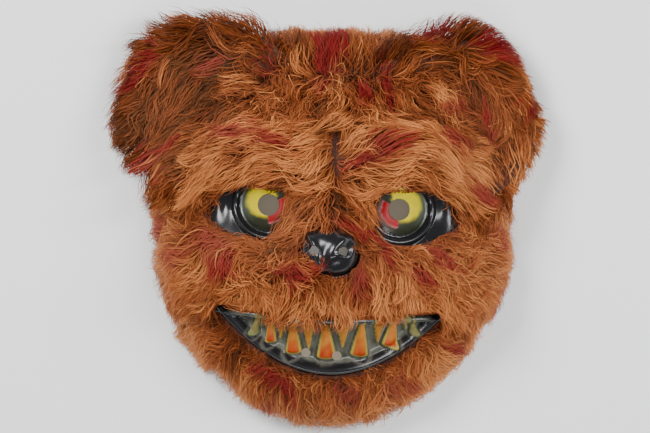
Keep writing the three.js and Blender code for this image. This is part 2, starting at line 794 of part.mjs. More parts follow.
function panelSolid(panel) {
  const body = plushBody.intersect(prism(panels[panel]())).subtract(openings);
  const locks = panelLocks(panel, 0);
  return unite([body, ...locks]).subtract(core).subtract(under(floorGap));
}

// The room that a panel takes with the clearance round it.
function panelRoom(panel) {
  const outline = panels[panel]();
  const wide = outline.map((p, i) => {
    const before = outline[(i + outline.length - 1) % outline.length];
    const after = outline[(i + 1) % outline.length];
    const edge = after.clone().sub(before).normalize();
    return new THREE.Vector2(p.x + edge.y * clearance, p.y - edge.x * clearance);
  });
  return unite([plushBodyGrown.intersect(prism(wide)), ...panelLocks(panel, clearance)]);
}

// The ears

// An ear's root line runs between two places on the rim.
function earFrame({ side: sideSign, reach }) {
  const place = (angle) => {
    const radius = rimRadius(angle * degrees) * ear.rootShare;
    const x = -sideSign * radius * Math.cos(angle * degrees);
    return new THREE.Vector3(x, face.centreY + radius * Math.sin(angle * degrees), 0);
  };
  const top = place(ear.topAngle);
  const low = place(ear.sideAngle);
  const along = top.clone().sub(low);
  const half = along.length() / 2;
  along.normalize();
  const out = new THREE.Vector3(along.y * sideSign, -along.x * sideSign, 0);
  return { middle: top.add(low).multiplyScalar(0.5), along, out, half, reach, sideSign };
}

// Half the ear's width at t millimetres from its root line.
const earHalf = (frame, t) => frame.half * Math.sqrt(Math.max(0, 1 - clamp(t / frame.reach, 0, 1) ** 3));

// A place in the ear's middle surface: s from -1 to 1 across it, t from its root line outwards.
function earPlace(frame, s, t) {
  const share = clamp(t / frame.reach, 0, 1);
  const half = earHalf(frame, t);
  const at = frame.middle.clone().addScaledVector(frame.along, s * half).addScaledVector(frame.out, t);
  const cup = (s * s * 0.7 + 0.5 * share ** 3 - 0.5) * (half / frame.half);
  at.z = mix(ear.rootHeight, ear.edgeHeight, smooth(share)) + ear.cup * cup;
  return at;
}

function earRoots(frame) {
  const roots = [];
  const edgeCount = Math.round((Math.PI * (frame.half + frame.reach)) / 2 / lockPitch.ear);
  for (let i = 0; i <= edgeCount; i++) {
    const angle = Math.PI * (0.06 + (0.88 * i) / edgeCount);
    const t = frame.reach * 0.84 * Math.sin(angle) ** 0.8;
    const s = (Math.cos(angle) * frame.half) / Math.max(1, earHalf(frame, t));
    roots.push({ s: clamp(s, -0.85, 0.85), t, edge: true });
  }
  for (const { share, count } of earRows) {
    for (let i = 0; i < count; i++) {
      roots.push({ s: ((i + 0.5) / count) * 2 - 1, t: share * frame.reach, edge: false });
    }
  }
  return roots;
}

function earLocks(frame) {
  const size = lockSizes.ear;
  return earRoots(frame).map(({ s, t, edge }, i) => {
    const at = earPlace(frame, s, t);
    const lie = at.clone().sub(frame.middle).setZ(0).normalize();
    if (!edge) lie.multiplyScalar(0.7);
    lie.add(new THREE.Vector3(0, -0.45, -0.15)).normalize();
    lie.applyAxisAngle(new THREE.Vector3(0, 0, 1), 0.4 * (vary(i, frame.sideSign) - 0.5));
    const up = new THREE.Vector3(0, 0, 1).addScaledVector(lie, -lie.z).normalize();
    const level = edge ? -plush.sink : ear.thickness / 2 - plush.sink;
    const spots = lockSections.map((part) => {
      const spot = at.clone().addScaledVector(lie, part.along * size.length);
      spot.addScaledVector(up, level - 2 * Math.max(0, part.along));
      return spot.setZ(Math.max(spot.z, lockFloor));
    });
    return tongue(spots, lie, up, size, 0);
  });
}

function earSolid(spec) {
  const frame = earFrame(spec);
  const sides = 12;
  const shares = [0, 0.35, 0.65, 0.85, 0.96, 0.995];
  const rings = [-ear.tail, ...shares.map((v) => v * frame.reach)].map((t) =>
    Array.from({ length: sides }, (_, i) => {
      const angle = (frame.sideSign * i * 2 * Math.PI) / sides;
      const thin = 1 - 0.5 * clamp(t / frame.reach, 0, 1) ** 4;
      const thick = Math.sign(Math.sin(angle)) * Math.abs(Math.sin(angle)) ** 0.6;
      const at = earPlace(frame, Math.cos(angle), t);
      return at.setZ(at.z + thick * (ear.thickness / 2) * thin);
    }),
  );
  return unite([loft(rings), ...earLocks(frame)]);
}

// The elastic band, on edge on the rim's plane, from one side of the face round the chin to the other.
function headStrap() {
  const start = strap.anchorAngle * degrees;
  const sweep = Math.PI + 2 * start;
  const wallLean = 1 - Math.sin(Math.acos((strap.width / face.depth) ** (1 / face.domeFall))) ** face.rimSpread;
  const edge = (more) =>
    Array.from({ length: strap.steps + 1 }, (_, i) => {
      const share = i / strap.steps;
      const angle = start - share * sweep;
      const free = smooth(clamp((Math.min(share, 1 - share) - strap.tab) / 0.12, 0, 1));
      const seat = rimRadius(angle) * (1 - wallLean) - face.wall - clearance - strap.inset * free;
      const reach = seat - more;
      return new THREE.Vector2(reach * Math.cos(angle), face.centreY + reach * Math.sin(angle));
    });
  const outline = [...edge(0), ...edge(strap.thickness).reverse()];
  return solidOf(new THREE.ExtrudeGeometry(new THREE.Shape(outline), { depth: strap.width, bevelEnabled: false }));
}

// Assembly

function meshOf(name, solid, colour, roughness) {
  const { numProp, vertProperties, triVerts } = solid.getMesh();
  const geometry = new THREE.BufferGeometry();
  const positions = new Float32Array((vertProperties.length / numProp) * 3);
  for (let i = 0; i < positions.length; i++) {
    positions[i] = vertProperties[Math.floor(i / 3) * numProp + (i % 3)];
  }
  geometry.setAttribute("position", new THREE.BufferAttribute(positions, 3));
  geometry.setIndex(new THREE.BufferAttribute(new Uint32Array(triVerts), 1));
  geometry.computeVertexNormals();
  const mesh = new THREE.Mesh(geometry, new THREE.MeshStandardMaterial({ color: colour, roughness, metalness: 0 }));
  mesh.name = name;
  return mesh;
}

const mask = new THREE.Group();
mask.add(meshOf("face_shell", faceShell(), faceBlack, 0.2));

const taken = [];
const panelNodes = [
  { panel: "face", name: "face_fur", colour: plushBrown },
  { panel: "browLeft", name: "brow_fur_left", colour: browGold },
  { panel: "browRight", name: "brow_fur_right", colour: browGold },
  { panel: "crown", name: "crown_fur", colour: crownBrown },
];
for (const { panel, name, colour } of panelNodes) {
  const solid = taken.reduce((left, room) => left.subtract(room), panelSolid(panel));
  mask.add(meshOf(name, largestBody(solid), colour, 0.9));
  taken.push(panelRoom(panel));
}

const headRoom = filled(coarse, clearance, plushTop);
for (const spec of ears) {
  const trimmed = [headRoom, ...taken].reduce((left, room) => left.subtract(room), earSolid(spec));
  mask.add(meshOf(spec.name, largestBody(trimmed), earBrown, 0.9));
}

mask.add(meshOf("head_strap", headStrap(), strapBlack, 0.8));

// The origin goes to the middle of the whole mask's box, in the rim's plane.
const middle = new THREE.Box3().setFromObject(mask).getCenter(new THREE.Vector3());
for (const piece of mask.children) piece.geometry.translate(-middle.x, -middle.y, 0);

export default mask;
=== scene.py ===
"""Looks of the bear mask: glossy formed face, long-pile plush, ears and elastic band, on a pale floor."""

import math

import bpy
import numpy as np
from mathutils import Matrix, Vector
from mathutils.kdtree import KDTree


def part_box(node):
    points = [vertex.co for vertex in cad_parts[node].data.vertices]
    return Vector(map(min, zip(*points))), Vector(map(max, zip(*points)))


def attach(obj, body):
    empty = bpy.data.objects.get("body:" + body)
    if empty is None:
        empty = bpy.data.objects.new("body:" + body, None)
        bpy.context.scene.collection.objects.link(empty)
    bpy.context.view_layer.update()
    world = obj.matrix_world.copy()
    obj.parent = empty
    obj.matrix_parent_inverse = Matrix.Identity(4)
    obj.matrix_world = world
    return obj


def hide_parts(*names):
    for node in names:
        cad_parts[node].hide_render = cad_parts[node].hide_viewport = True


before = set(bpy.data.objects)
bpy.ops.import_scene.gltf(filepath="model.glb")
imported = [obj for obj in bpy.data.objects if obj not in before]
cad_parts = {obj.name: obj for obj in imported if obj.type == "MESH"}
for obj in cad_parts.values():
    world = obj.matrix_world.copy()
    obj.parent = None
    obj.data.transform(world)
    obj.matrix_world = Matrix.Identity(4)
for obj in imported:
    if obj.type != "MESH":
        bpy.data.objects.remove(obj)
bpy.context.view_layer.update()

MM = 0.001
shell_low, shell_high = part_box("face_shell")
MIDDLE = np.array([(shell_low.x + shell_high.x) / 2, (shell_low.y + shell_high.y) / 2, 0.0])

# The face's form, as in the CAD. Millimetres, from the middle of the shell.

HALF, TOP, CHIN, CENTRE, DEPTH, WALL = 98.0, 112.0, 116.0, 2.0, 62.0, 1.5
BROAD = [  # x, y, rx, ry, rise: shares of HALF, CHIN and DEPTH
    (0, -0.28, 0.66, 0.5, 0.3),
    (0.45, 0.36, 0.48, 0.26, 0.2),
    (0.66, -0.26, 0.42, 0.4, 0.1),
    (0.57, 0.06, 0.37, 0.22, -0.13),
    (0, 0.06, 0.2, 0.32, 0.1),
]
EYE_X, EYE_Y, EYE_R, EYE_RISE, PUPIL_R = 42.0, 11.5, 17.0, 8.0, 7.0
LID_R, LID_HALF, LID_RISE = 21.5, 2.5, 2.5
BALL_R, BALL_SHIFT, BALL_TOP = 16.8, 2.0, 23.0
SOCKET = (54.75, 6.0, 28.25, 18.0, 0.35)  # x, y, rx, ry, lean
NOSE = (-1.5, -17.0, 18.0, 15.0, 12.0, 2.4)  # x, y, half width, half height, rise, squareness
NOSTRILS = [(-11.8, -16.5), (6.8, -16.5)]
NOSTRIL_R = 3.25
NOSE_RIDGES = [[(-12, -8), (-8.5, -14), (-6, -25)], [(4, -10), (-1.5, -21), (4, -18)]]
MOUTH_HALF, LIP_LOW, LIP_CORNER, MOUTH_HIGH, LIP_SAG = 75.0, -97.0, 43.0, 40.0, 4.0
LIP_WIDTH, LIP_RISE, RECESS, TOOTH_RISE = 6.5, 4.5, 2.5, 4.0
VENT_R = 3.1
TEETH = [  # base, tip, from, to, wide
    (-0.65, -0.6, 0.3, 1.0, 0.05),
    (-0.56, -0.59, 1.0, 0.52, 0.035),
    (-0.5, -0.51, 0.31, 0.98, 0.062),
    (-0.4, -0.42, 1.0, 0.42, 0.05),
    (-0.3, -0.32, 0.26, 0.92, 0.088),
    (-0.19, -0.17, 1.0, 0.36, 0.08),
    (-0.015, -0.035, 0.27, 0.92, 0.105),
    (0.12, 0.12, 1.0, 0.42, 0.085),
    (0.265, 0.285, 0.27, 0.94, 0.095),
    (0.43, 0.42, 1.0, 0.42, 0.07),
    (0.525, 0.56, 0.28, 0.97, 0.085),
    (0.66, 0.65, 1.0, 0.5, 0.04),
    (0.73, 0.71, 0.31, 0.95, 0.045),
]
TOOTH_TAPER, TOOTH_FOOT = 0.75, 0.15  # the foot is the share of a tooth that stands below its base


def smooth(t):
    t = np.clip(t, 0, 1)
    return t * t * (3 - 2 * t)


def mix(a, b, t):
    return a + (b - a) * t


def unit(v):
    return v / np.maximum(np.linalg.norm(v, axis=-1, keepdims=True), 1e-9)


def bell(u, v):
    return smooth(1 - np.hypot(u, v))


def waves(seed, size):
    """A smooth field from about -1 to 1 whose lumps are size across: returns a function of x and y."""
    dice = np.random.default_rng(seed)
    turn = dice.uniform(0, 2 * math.pi, 7)
    rate = dice.uniform(0.6, 1.5, 7) * 2 * math.pi / size
    phase = dice.uniform(0, 2 * math.pi, 7)

    def field(x, y):
        total = 0
        for a, k, p in zip(turn, rate, phase):
            total = total + np.sin((x * math.cos(a) + y * math.sin(a)) * k + p)
        return total / 3.2

    return field


def rim_radius(angle):
    s = np.sin(angle)
    across = np.abs(np.cos(angle)) / HALF
    along = np.abs(s) / np.where(s > 0, TOP, CHIN)
    power = np.where(s > 0, 2.7, 2.15)
    return (across**power + along**power) ** (-1 / power)


def rim_share(x, y):
    return np.hypot(x, y - CENTRE) / rim_radius(np.arctan2(y - CENTRE, x))


def form_height(x, y):
    lean = np.arcsin(np.clip(rim_share(x, y), 0, 1) ** (1 / 0.9))
    level = np.maximum(np.cos(lean), 0)
    u, v = np.abs(x) / HALF, (y - CENTRE) / CHIN
    broad = sum(rise * bell((u - bx) / rx, (v - by) / ry) for bx, by, rx, ry, rise in BROAD)
    return DEPTH * (level**0.75 + np.sqrt(level) * broad)


def form_normal(x, y):
    e = 0.4
    away = np.hypot(x, y - CENTRE)
    edge = rim_radius(np.arctan2(y - CENTRE, x)) - 1.2
    pull = np.minimum(1, edge / np.maximum(away, 1e-6))
    x, y = x * pull, CENTRE + (y - CENTRE) * pull
    slope_x = (form_height(x + e, y) - form_height(x - e, y)) / (2 * e)
    slope_y = (form_height(x, y + e) - form_height(x, y - e)) / (2 * e)
    return unit(np.stack([-slope_x, -slope_y, np.ones_like(x)], -1))


# Relief of eyes, nose and mouth


def eye_relief(x, y):
    dx, dy = np.abs(x) - EYE_X, y - EYE_Y
    away = np.hypot(dx, dy)
    dome = EYE_RISE * np.sqrt(np.clip(1 - (away / EYE_R) ** 2, 0, 1))
    side = smooth(0.5 + (dx * 0.5 - dy) / (1.6 * np.maximum(away, 1)))
    ridge = np.maximum(0, 1 - ((away - LID_R) / LID_HALF) ** 2)
    folds = 0.6 * np.sin(dx * 0.6 + 0.5) * bell((dx - 30) / 15, (dy + 1) / 15)
    return dome + LID_RISE * side * ridge + folds


def nose_edge(x, y):
    nx, ny, hw, hh, _, q = NOSE
    return (np.abs((x - nx) / hw) ** q + np.abs((y - ny) / hh) ** q) ** (1 / q)


def ridge(x, y, line, wide):
    """1 along a line of points, falling to 0 over wide."""
    best = np.full(np.shape(x), 1e9)
    for (ax, ay), (bx, by) in zip(line, line[1:]):
        t = np.clip(((x - ax) * (bx - ax) + (y - ay) * (by - ay)) / ((bx - ax) ** 2 + (by - ay) ** 2), 0, 1)
        best = np.minimum(best, np.hypot(x - mix(ax, bx, t), y - mix(ay, by, t)))
    return smooth(1 - best / wide)


def nose_relief(x, y):
    nx, ny, _, hh, rise, _ = NOSE
    edge = nose_edge(x, y)
    dents = sum(1.8 * bell((x - a) / 6, (y - b) / 6) for a, b in NOSTRILS)
    below = np.clip((ny + hh / 3 - y) / (2 * hh), 0, 1)
    cleft = 3.2 * bell((x - nx + 1) / 3, 0 * y) * below
    wings = sum(1.9 * ridge(x, y, line, 3.6) for line in NOSE_RIDGES)
    return np.where(edge < 1, rise * np.clip(1 - edge**2.4, 0, 1) ** 0.6 - dents - cleft + wings, 0)


def lower_lip(x):
    return LIP_LOW + LIP_CORNER * (x / MOUTH_HALF) ** 2


def upper_lip(x):
    return LIP_LOW + MOUTH_HIGH + LIP_SAG * (x / MOUTH_HALF) ** 2


def lip_square(x):
    return 1 / np.hypot(1, 2 * LIP_CORNER * x / MOUTH_HALF**2)


def tooth_place(tooth, t):
    base, tip, start, end, _ = tooth
    x = MOUTH_HALF * mix(base, tip, t)
    return np.array([x, mix(lower_lip(x), upper_lip(x), mix(start, end, t))])


def tooth_axes(tooth, x, y):
    """The share along a tooth, how far beside its line, its half width there, and its length."""
    base, tip = tooth_place(tooth, 0), tooth_place(tooth, 1)
    along = tip - base
    size = np.hypot(*along)
    t = ((x - base[0]) * along[0] + (y - base[1]) * along[1]) / size**2
    aside = np.abs((x - base[0]) * along[1] - (y - base[1]) * along[0]) / size
    half = MOUTH_HALF * tooth[4] * np.clip(1 - t, 0, 1) ** TOOTH_TAPER
    half = half * np.minimum(1, 0.55 + 3 * (t + TOOTH_FOOT))
    return t, aside, half, size


def tooth_at(tooth, x, y):
    """(depth, t): depth is 1 on the tooth's middle line and 0 outside, t is 0 at its base and 1 at its tip."""
    t, aside, half, _ = tooth_axes(tooth, x, y)
    inside = (t > -TOOTH_FOOT) & (t < 1) & (aside < half)
    end = np.clip((t + TOOTH_FOOT) * 5, 0, 1)
    depth = np.sqrt(np.clip(1 - (aside / np.maximum(half, 1e-6)) ** 2, 0, 1)) * end
    return np.where(inside, depth, 0), t


def tooth_edge(tooth, x, y):
    """1 on a tooth's outline, fading over 2 mm on both sides of it."""
    t, aside, half, size = tooth_axes(tooth, x, y)
    below = (-TOOTH_FOOT - t) * size + np.maximum(aside - half, 0)
    gap = np.where(t < -TOOTH_FOOT, below, np.abs(aside - half - 0.8))
    return np.clip(1 - gap / 2, 0, 1) * (t < 0.9) * (t > -0.3)


def mouth_parts(x, y):
    low = (y - lower_lip(x)) * lip_square(x)
    high = upper_lip(x) - y
    inside = (np.abs(x) < MOUTH_HALF) & (low > 0) & (high > 0)
    return np.where(inside, low, 0), np.where(inside, high, 0), inside


def mouth_relief(x, y):
    low, high, inside = mouth_parts(x, y)
    lip = np.maximum(
        np.sin(np.pi * np.clip(low / LIP_WIDTH, 0, 1)), np.sin(np.pi * np.clip(high / LIP_WIDTH, 0, 1))
    )
    hollow = smooth((np.minimum(low, high) - LIP_WIDTH / 2) / LIP_WIDTH)
    tooth = np.max([tooth_at(t, x, y)[0] for t in TEETH], axis=0)
    return np.where(inside, LIP_RISE * lip - RECESS * hollow + TOOTH_RISE * tooth * hollow, 0)


def relief(x, y):
    return eye_relief(x, y) + nose_relief(x, y) + mouth_relief(x, y)


def vents():
    return [(x, lower_lip(x) + 12.0) for x in (-14.6, 5.6)]


HOLES = [(-EYE_X, EYE_Y, PUPIL_R), (EYE_X, EYE_Y, PUPIL_R)]
HOLES += [(x, y, NOSTRIL_R) for x, y in NOSTRILS] + [(x, y, VENT_R) for x, y in vents()]

# Openings in the plush


def socket_distance(x, y):
    sx, sy, rx, ry, lean = SOCKET
    v = (y - sy) / ry
    u = (np.abs(x) - sx) / rx + lean * np.maximum(0, -v)
    ball = np.hypot(np.abs(x) - EYE_X - BALL_SHIFT, y - EYE_Y) - BALL_R
    return np.minimum((np.hypot(u, v) - 1) * ry, np.maximum(ball, y - BALL_TOP))


def nose_distance(x, y):
    return (nose_edge(x, y) - 1.03) * NOSE[3]


def mouth_distance(x, y):
    high = y - np.maximum(upper_lip(x), lower_lip(x))
    return np.maximum(np.maximum(lower_lip(x) - y, high), np.abs(x) - MOUTH_HALF)


def opening_distance(x, y):
    return np.minimum(np.minimum(socket_distance(x, y), nose_distance(x, y)), mouth_distance(x, y))


def crown_seam(x):
    return CENTRE + 66 - 8 * (x / HALF) ** 2


def brow_seam(x):
    return CENTRE + 27 - 12 * (x / HALF) ** 2


# Meshes

FRONT_SQUARES, INSIDE_SQUARES, CLOTH_SQUARES = 96, 54, 84  # rows of squares across the face
FINER = 4  # how many times finer the plastic's squares are where it shows
CLOTH_GAP, CLOTH_THICK, ROOT_HEIGHT = 0.3, 1.9, 1.6
MAP_SPAN = 300  # millimetres across the texture map


def to_metres(points):
    return np.asarray(points, float) * MM + MIDDLE


def add_piece(name, mesh, nodes, materials):
    piece = bpy.data.objects.new(name, mesh)
    bpy.context.scene.collection.objects.link(piece)
    for m in materials:
        mesh.materials.append(m)
    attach(piece, "root")
    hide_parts(*nodes)
    return piece


def mesh_of(name, points, faces, uv=None, colour=None):
    """A smooth mesh of quads or triangles. uv and colour are given for each point."""
    mesh = bpy.data.meshes.new(name)
    mesh.from_pydata(to_metres(points).tolist(), [], faces.tolist())
    mesh.shade_smooth()
    loops = np.zeros(len(mesh.loops), np.int32)
    mesh.loops.foreach_get("vertex_index", loops)
    if uv is not None:
        layer = mesh.uv_layers.new(name="OFBake")
        layer.data.foreach_set("uv", uv[loops].astype(np.float32).ravel())
    if colour is not None:
        layer = mesh.color_attributes.new("Paint", "FLOAT_COLOR", "POINT")
        rgba = np.concatenate([colour, np.ones((len(colour), 1))], 1)
        layer.data.foreach_set("color", rgba.astype(np.float32).ravel())
    return mesh


def square_to_disc(u, v):
    """The place in the unit disc of a place in the square from -1 to 1, evenly spread."""
    wide = np.abs(u) > np.abs(v)
    safe_u, safe_v = np.where(u == 0, 1e-12, u), np.where(v == 0, 1e-12, v)
    r = np.where(wide, u, v)
    angle = np.where(wide, np.pi / 4 * v / safe_u, np.pi / 2 - np.pi / 4 * u / safe_v)
    return r * np.cos(angle), r * np.sin(angle)


def disc_grid(n):
    """Places of the unit disc in n rows of n squares, and the squares."""
    u, v = np.meshgrid(np.linspace(-1, 1, n + 1), np.linspace(-1, 1, n + 1))
    i = np.arange(n * n) // n * (n + 1) + np.arange(n * n) % n
    return *square_to_disc(u.ravel(), v.ravel()), np.stack([i, i + 1, i + n + 2, i + n + 1], 1)


def disc_to_face(a, b):
    angle = np.arctan2(b, a)
    lean = np.minimum(1, np.hypot(a, b)) * np.pi / 2
    reach = rim_radius(angle) * np.sin(lean) ** 0.9
    return reach * np.cos(angle), CENTRE + reach * np.sin(angle)


def drop_unused(points, faces, *extras):
    used = np.zeros(len(points), bool)
    used[faces] = True
    index = np.cumsum(used) - 1
    return (points[used], index[faces], *[e[used] for e in extras])


def boundary_edges(faces):
    """Edges of only one face, each in that face's direction."""
    n = faces.shape[1]
    edges = np.concatenate([faces[:, [k, (k + 1) % n]] for k in range(n)])
    keys = np.sort(edges, 1)
    _, first, count = np.unique(keys, axis=0, return_index=True, return_counts=True)
    return edges[first[count == 1]]


def face_points(x, y, edge, offset):
    normal = form_normal(x, y)
    normal[edge, 2] = 0
    normal = unit(normal)
    height = np.where(edge, 0, form_height(x, y))
    return np.stack([x, y, height], 1) + normal * (offset + relief(x, y))[:, None]


def patchwork(coarse, split):
    """Squares of the unit disc, finer where the plastic shows: places in the disc, and the squares."""
    n = coarse * split
    i, j = np.divmod(np.arange(coarse**2), coarse)
    centre = square_to_disc((2 * j + 1) / coarse - 1, (2 * i + 1) / coarse - 1)
    shows = opening_distance(*disc_to_face(*centre)) < 3.5
    k, m = np.divmod(np.arange(split**2), split)
    fine_i, fine_j = (i[shows, None] * split + k).ravel(), (j[shows, None] * split + m).ravel()
    parts = [(i[~shows] * split, j[~shows] * split, split), (fine_i, fine_j, 1)]
    faces = [
        np.stack([a * (n + 1) + b, a * (n + 1) + b + d, (a + d) * (n + 1) + b + d, (a + d) * (n + 1) + b], 1)
        for a, b, d in parts
    ]
    used, faces = np.unique(np.concatenate(faces), return_inverse=True)
    rows, columns = np.divmod(used, n + 1)
    a, b = square_to_disc(2 * columns / n - 1, 2 * rows / n - 1)
    return a, b, faces.reshape(-1, 4)


def pierced_face(grid, offset):
    """The face's surface with its holes, moved out by offset."""
    a, b, faces = grid
    edge = np.hypot(a, b) > 0.9999
    x, y = disc_to_face(a, b)
    points = face_points(x, y, edge, offset)
    nearest = np.full(len(x), -1)
    for k, (hx, hy, hr) in enumerate(HOLES):
        nearest[np.hypot(points[:, 0] - hx, points[:, 1] - hy) < hr] = k
    faces = faces[(nearest[faces] >= 0).sum(1) < 4]
    for k, (hx, hy, hr) in enumerate(HOLES):
        ring = nearest == k
        out = points[ring, :2] - (hx, hy)
        points[ring, :2] = (hx, hy) + unit(out) * hr
    return points, faces, np.stack([a, b], 1) * 0.49 + 0.5, x, y


# Materials


def srgb(*c):
    c = np.array(c, float) / 255
    return np.where(c <= 0.04045, c / 12.92, ((c + 0.055) / 1.055) ** 2.4)


def new_material(name):
    m = bpy.data.materials.new(name)
    m.use_nodes = True
    nodes, links = m.node_tree.nodes, m.node_tree.links
    return m, nodes, links, nodes["Principled BSDF"]


def node(nodes, kind, **settings):
    made = nodes.new(kind)
    for key, value in settings.items():
        setattr(made, key, value)
    return made


def ramp(nodes, stops, interpolation="LINEAR"):
    made = nodes.new("ShaderNodeValToRGB")
    made.color_ramp.interpolation = interpolation
    elements = made.color_ramp.elements
    while len(elements) < len(stops):
        elements.new(0.5)
    for element, (at, colour) in zip(elements, stops):
        element.position = at
        element.color = (*colour, 1)
    return made


def maths(nodes, links, operation, a, b=None):
    made = node(nodes, "ShaderNodeMath", operation=operation)
    for socket, value in zip(made.inputs, (a, b)):
        if value is None:
            continue
        if hasattr(value, "links"):
            links.new(value, socket)
        else:
            socket.default_value = value
    return made.outputs[0]


def blend_colour(nodes, links, factor, a, b, mode="MIX"):
    made = node(nodes, "ShaderNodeMix", data_type="RGBA", blend_type=mode)
    for socket, value in ((made.inputs[0], factor), (made.inputs[6], a), (made.inputs[7], b)):
        if hasattr(value, "links"):
            links.new(value, socket)
        elif isinstance(value, (int, float)):
            socket.default_value = value
        else:
            socket.default_value = (*value, 1)
    return made.outputs[2]


def bump(nodes, links, principled, height, strength, distance):
    made = node(nodes, "ShaderNodeBump")
    made.inputs["Strength"].default_value = strength
    made.inputs["Distance"].default_value = distance
    links.new(height, made.inputs["Height"])
    links.new(made.outputs[0], principled.inputs["Normal"])


def texture(nodes, links, kind, scale, **settings):
    """A noise or wave texture in the object's own coordinates: returns its first output."""
    coordinates = node(nodes, "ShaderNodeTexCoord")
    detail, distortion = settings.pop("detail", None), settings.pop("distortion", None)
    made = node(nodes, kind, **settings)
    for name, value in (("Scale", scale), ("Detail", detail), ("Distortion", distortion)):
        if value is not None:
            made.inputs[name].default_value = value
    links.new(coordinates.outputs["Object"], made.inputs["Vector"])
    return made.outputs[0]


def through(links, source, made):
    """Feeds source into a colour ramp: returns the ramp's colour."""
    links.new(source, made.inputs[0])
    return made.outputs[0]


def grey(value):
    return (value,) * 3


# Tints of the pile, from pale to dark.
TINTS = [
    (0.60, 0.215, 0.062),
    (0.48, 0.152, 0.042),
    (0.37, 0.102, 0.028),
    (0.29, 0.071, 0.019),
    (0.225, 0.05, 0.013),
    (0.17, 0.036, 0.009),
    (0.125, 0.03, 0.006),
    (0.06, 0.013, 0.003),
]
# Painted shade: how much darker each tint is at the root, standing in for the shade deep in the pile.
ROOT_PAINTED_SHADE = (0.27, 0.16, 0.12)
BLOOD = [  # how stained, colour
    (0, (0.3, 0.07, 0.025)),
    (0.25, (0.24, 0.03, 0.022)),
    (0.6, (0.2, 0.006, 0.009)),
    (1, (0.13, 0.001, 0.005)),
]


def pile_material():
    """Colour only from the FurTint map: across, how stained; up, the tint and the place along the hair."""
    m, nodes, links, principled = new_material("plush_pile")
    uv = node(nodes, "ShaderNodeUVMap", uv_map="FurTint")
    parts = node(nodes, "ShaderNodeSeparateXYZ")
    links.new(uv.outputs[0], parts.inputs[0])
    stain, tint = parts.outputs[0], parts.outputs[1]
    count = len(TINTS)
    along = maths(nodes, links, "FRACT", maths(nodes, links, "MULTIPLY", tint, float(count)))
    tips = through(links, tint, ramp(nodes, [(k / count, c) for k, c in enumerate(TINTS)], "CONSTANT"))
    # Painted shade: each tint darkens towards the root along the hair, and stained hairs darken the same way.
    dark = [tuple(a * b for a, b in zip(c, ROOT_PAINTED_SHADE)) for c in TINTS]
    roots = through(links, tint, ramp(nodes, [(k / count, c) for k, c in enumerate(dark)], "CONSTANT"))
    rise = through(links, along, ramp(nodes, [(0, grey(0)), (0.4, grey(0.45)), (0.8, grey(1)), (1, grey(1))]))
    clean = blend_colour(nodes, links, rise, roots, tips)
    blood = through(links, stain, ramp(nodes, BLOOD))
    depth = blend_colour(nodes, links, 1.0, blood, rise, "MULTIPLY")
    soaked = blend_colour(nodes, links, 0.35, blood, depth)
    soaking = [(0, grey(0)), (0.04, grey(0)), (0.22, grey(0.7)), (0.5, grey(0.97))]
    amount = through(links, stain, ramp(nodes, soaking))
    colour = blend_colour(nodes, links, amount, clean, soaked)
    links.new(colour, principled.inputs["Base Color"])
    rough = through(links, along, ramp(nodes, [(0, grey(0.62)), (1, grey(0.48))]))
    links.new(rough, principled.inputs["Roughness"])
    principled.inputs["Specular IOR Level"].default_value = 0.32
    principled.inputs["Specular Tint"].default_value = (1.0, 0.62, 0.36, 1)
    return m


def backing_material():
    m, nodes, links, principled = new_material("plush_backing")
    noise = texture(nodes, links, "ShaderNodeTexNoise", 420, detail=6)
    tones = [(0.3, srgb(34, 13, 5)), (0.55, srgb(66, 28, 10)), (0.75, srgb(98, 48, 18))]
    links.new(through(links, noise, ramp(nodes, tones)), principled.inputs["Base Color"])
    principled.inputs["Roughness"].default_value = 0.95
    bump(nodes, links, principled, noise, 0.6, 0.001)
    return m


def shell_material(name, shine, smoothest, roughest):
    m, nodes, links, principled = new_material(name)
    paint = node(nodes, "ShaderNodeAttribute", attribute_name="Paint")
    noise = texture(nodes, links, "ShaderNodeTexNoise", 260, detail=5)
    fleck = through(links, noise, ramp(nodes, [(0.35, grey(0.82)), (0.65, grey(1))]))
    colour = blend_colour(nodes, links, 0.6, paint.outputs["Color"], fleck, "MULTIPLY")
    links.new(colour, principled.inputs["Base Color"])
    smear = texture(nodes, links, "ShaderNodeTexNoise", 45, detail=4)
    rough = through(links, smear, ramp(nodes, [(0.3, grey(smoothest)), (0.7, grey(roughest))]))
    links.new(rough, principled.inputs["Roughness"])
    principled.inputs["Specular IOR Level"].default_value = shine
    bump(nodes, links, principled, smear, 0.05, 0.0006)
    return m


def strap_material():
    m, nodes, links, principled = new_material("woven_elastic")
    bands = dict(wave_type="BANDS", bands_direction="Z", distortion=1.5)
    wave = texture(nodes, links, "ShaderNodeTexWave", 300, **bands)
    tone = through(links, wave, ramp(nodes, [(0.2, grey(0.008)), (0.8, grey(0.035))]))
    links.new(tone, principled.inputs["Base Color"])
    principled.inputs["Roughness"].default_value = 0.85
    bump(nodes, links, principled, wave, 0.5, 0.0004)
    return m


# Paint on the formed face

BLACK = srgb(20, 20, 23)


def paint_over(under, colour, amount):
    return mix(under, np.broadcast_to(colour, under.shape), np.clip(amount, 0, 1)[:, None])


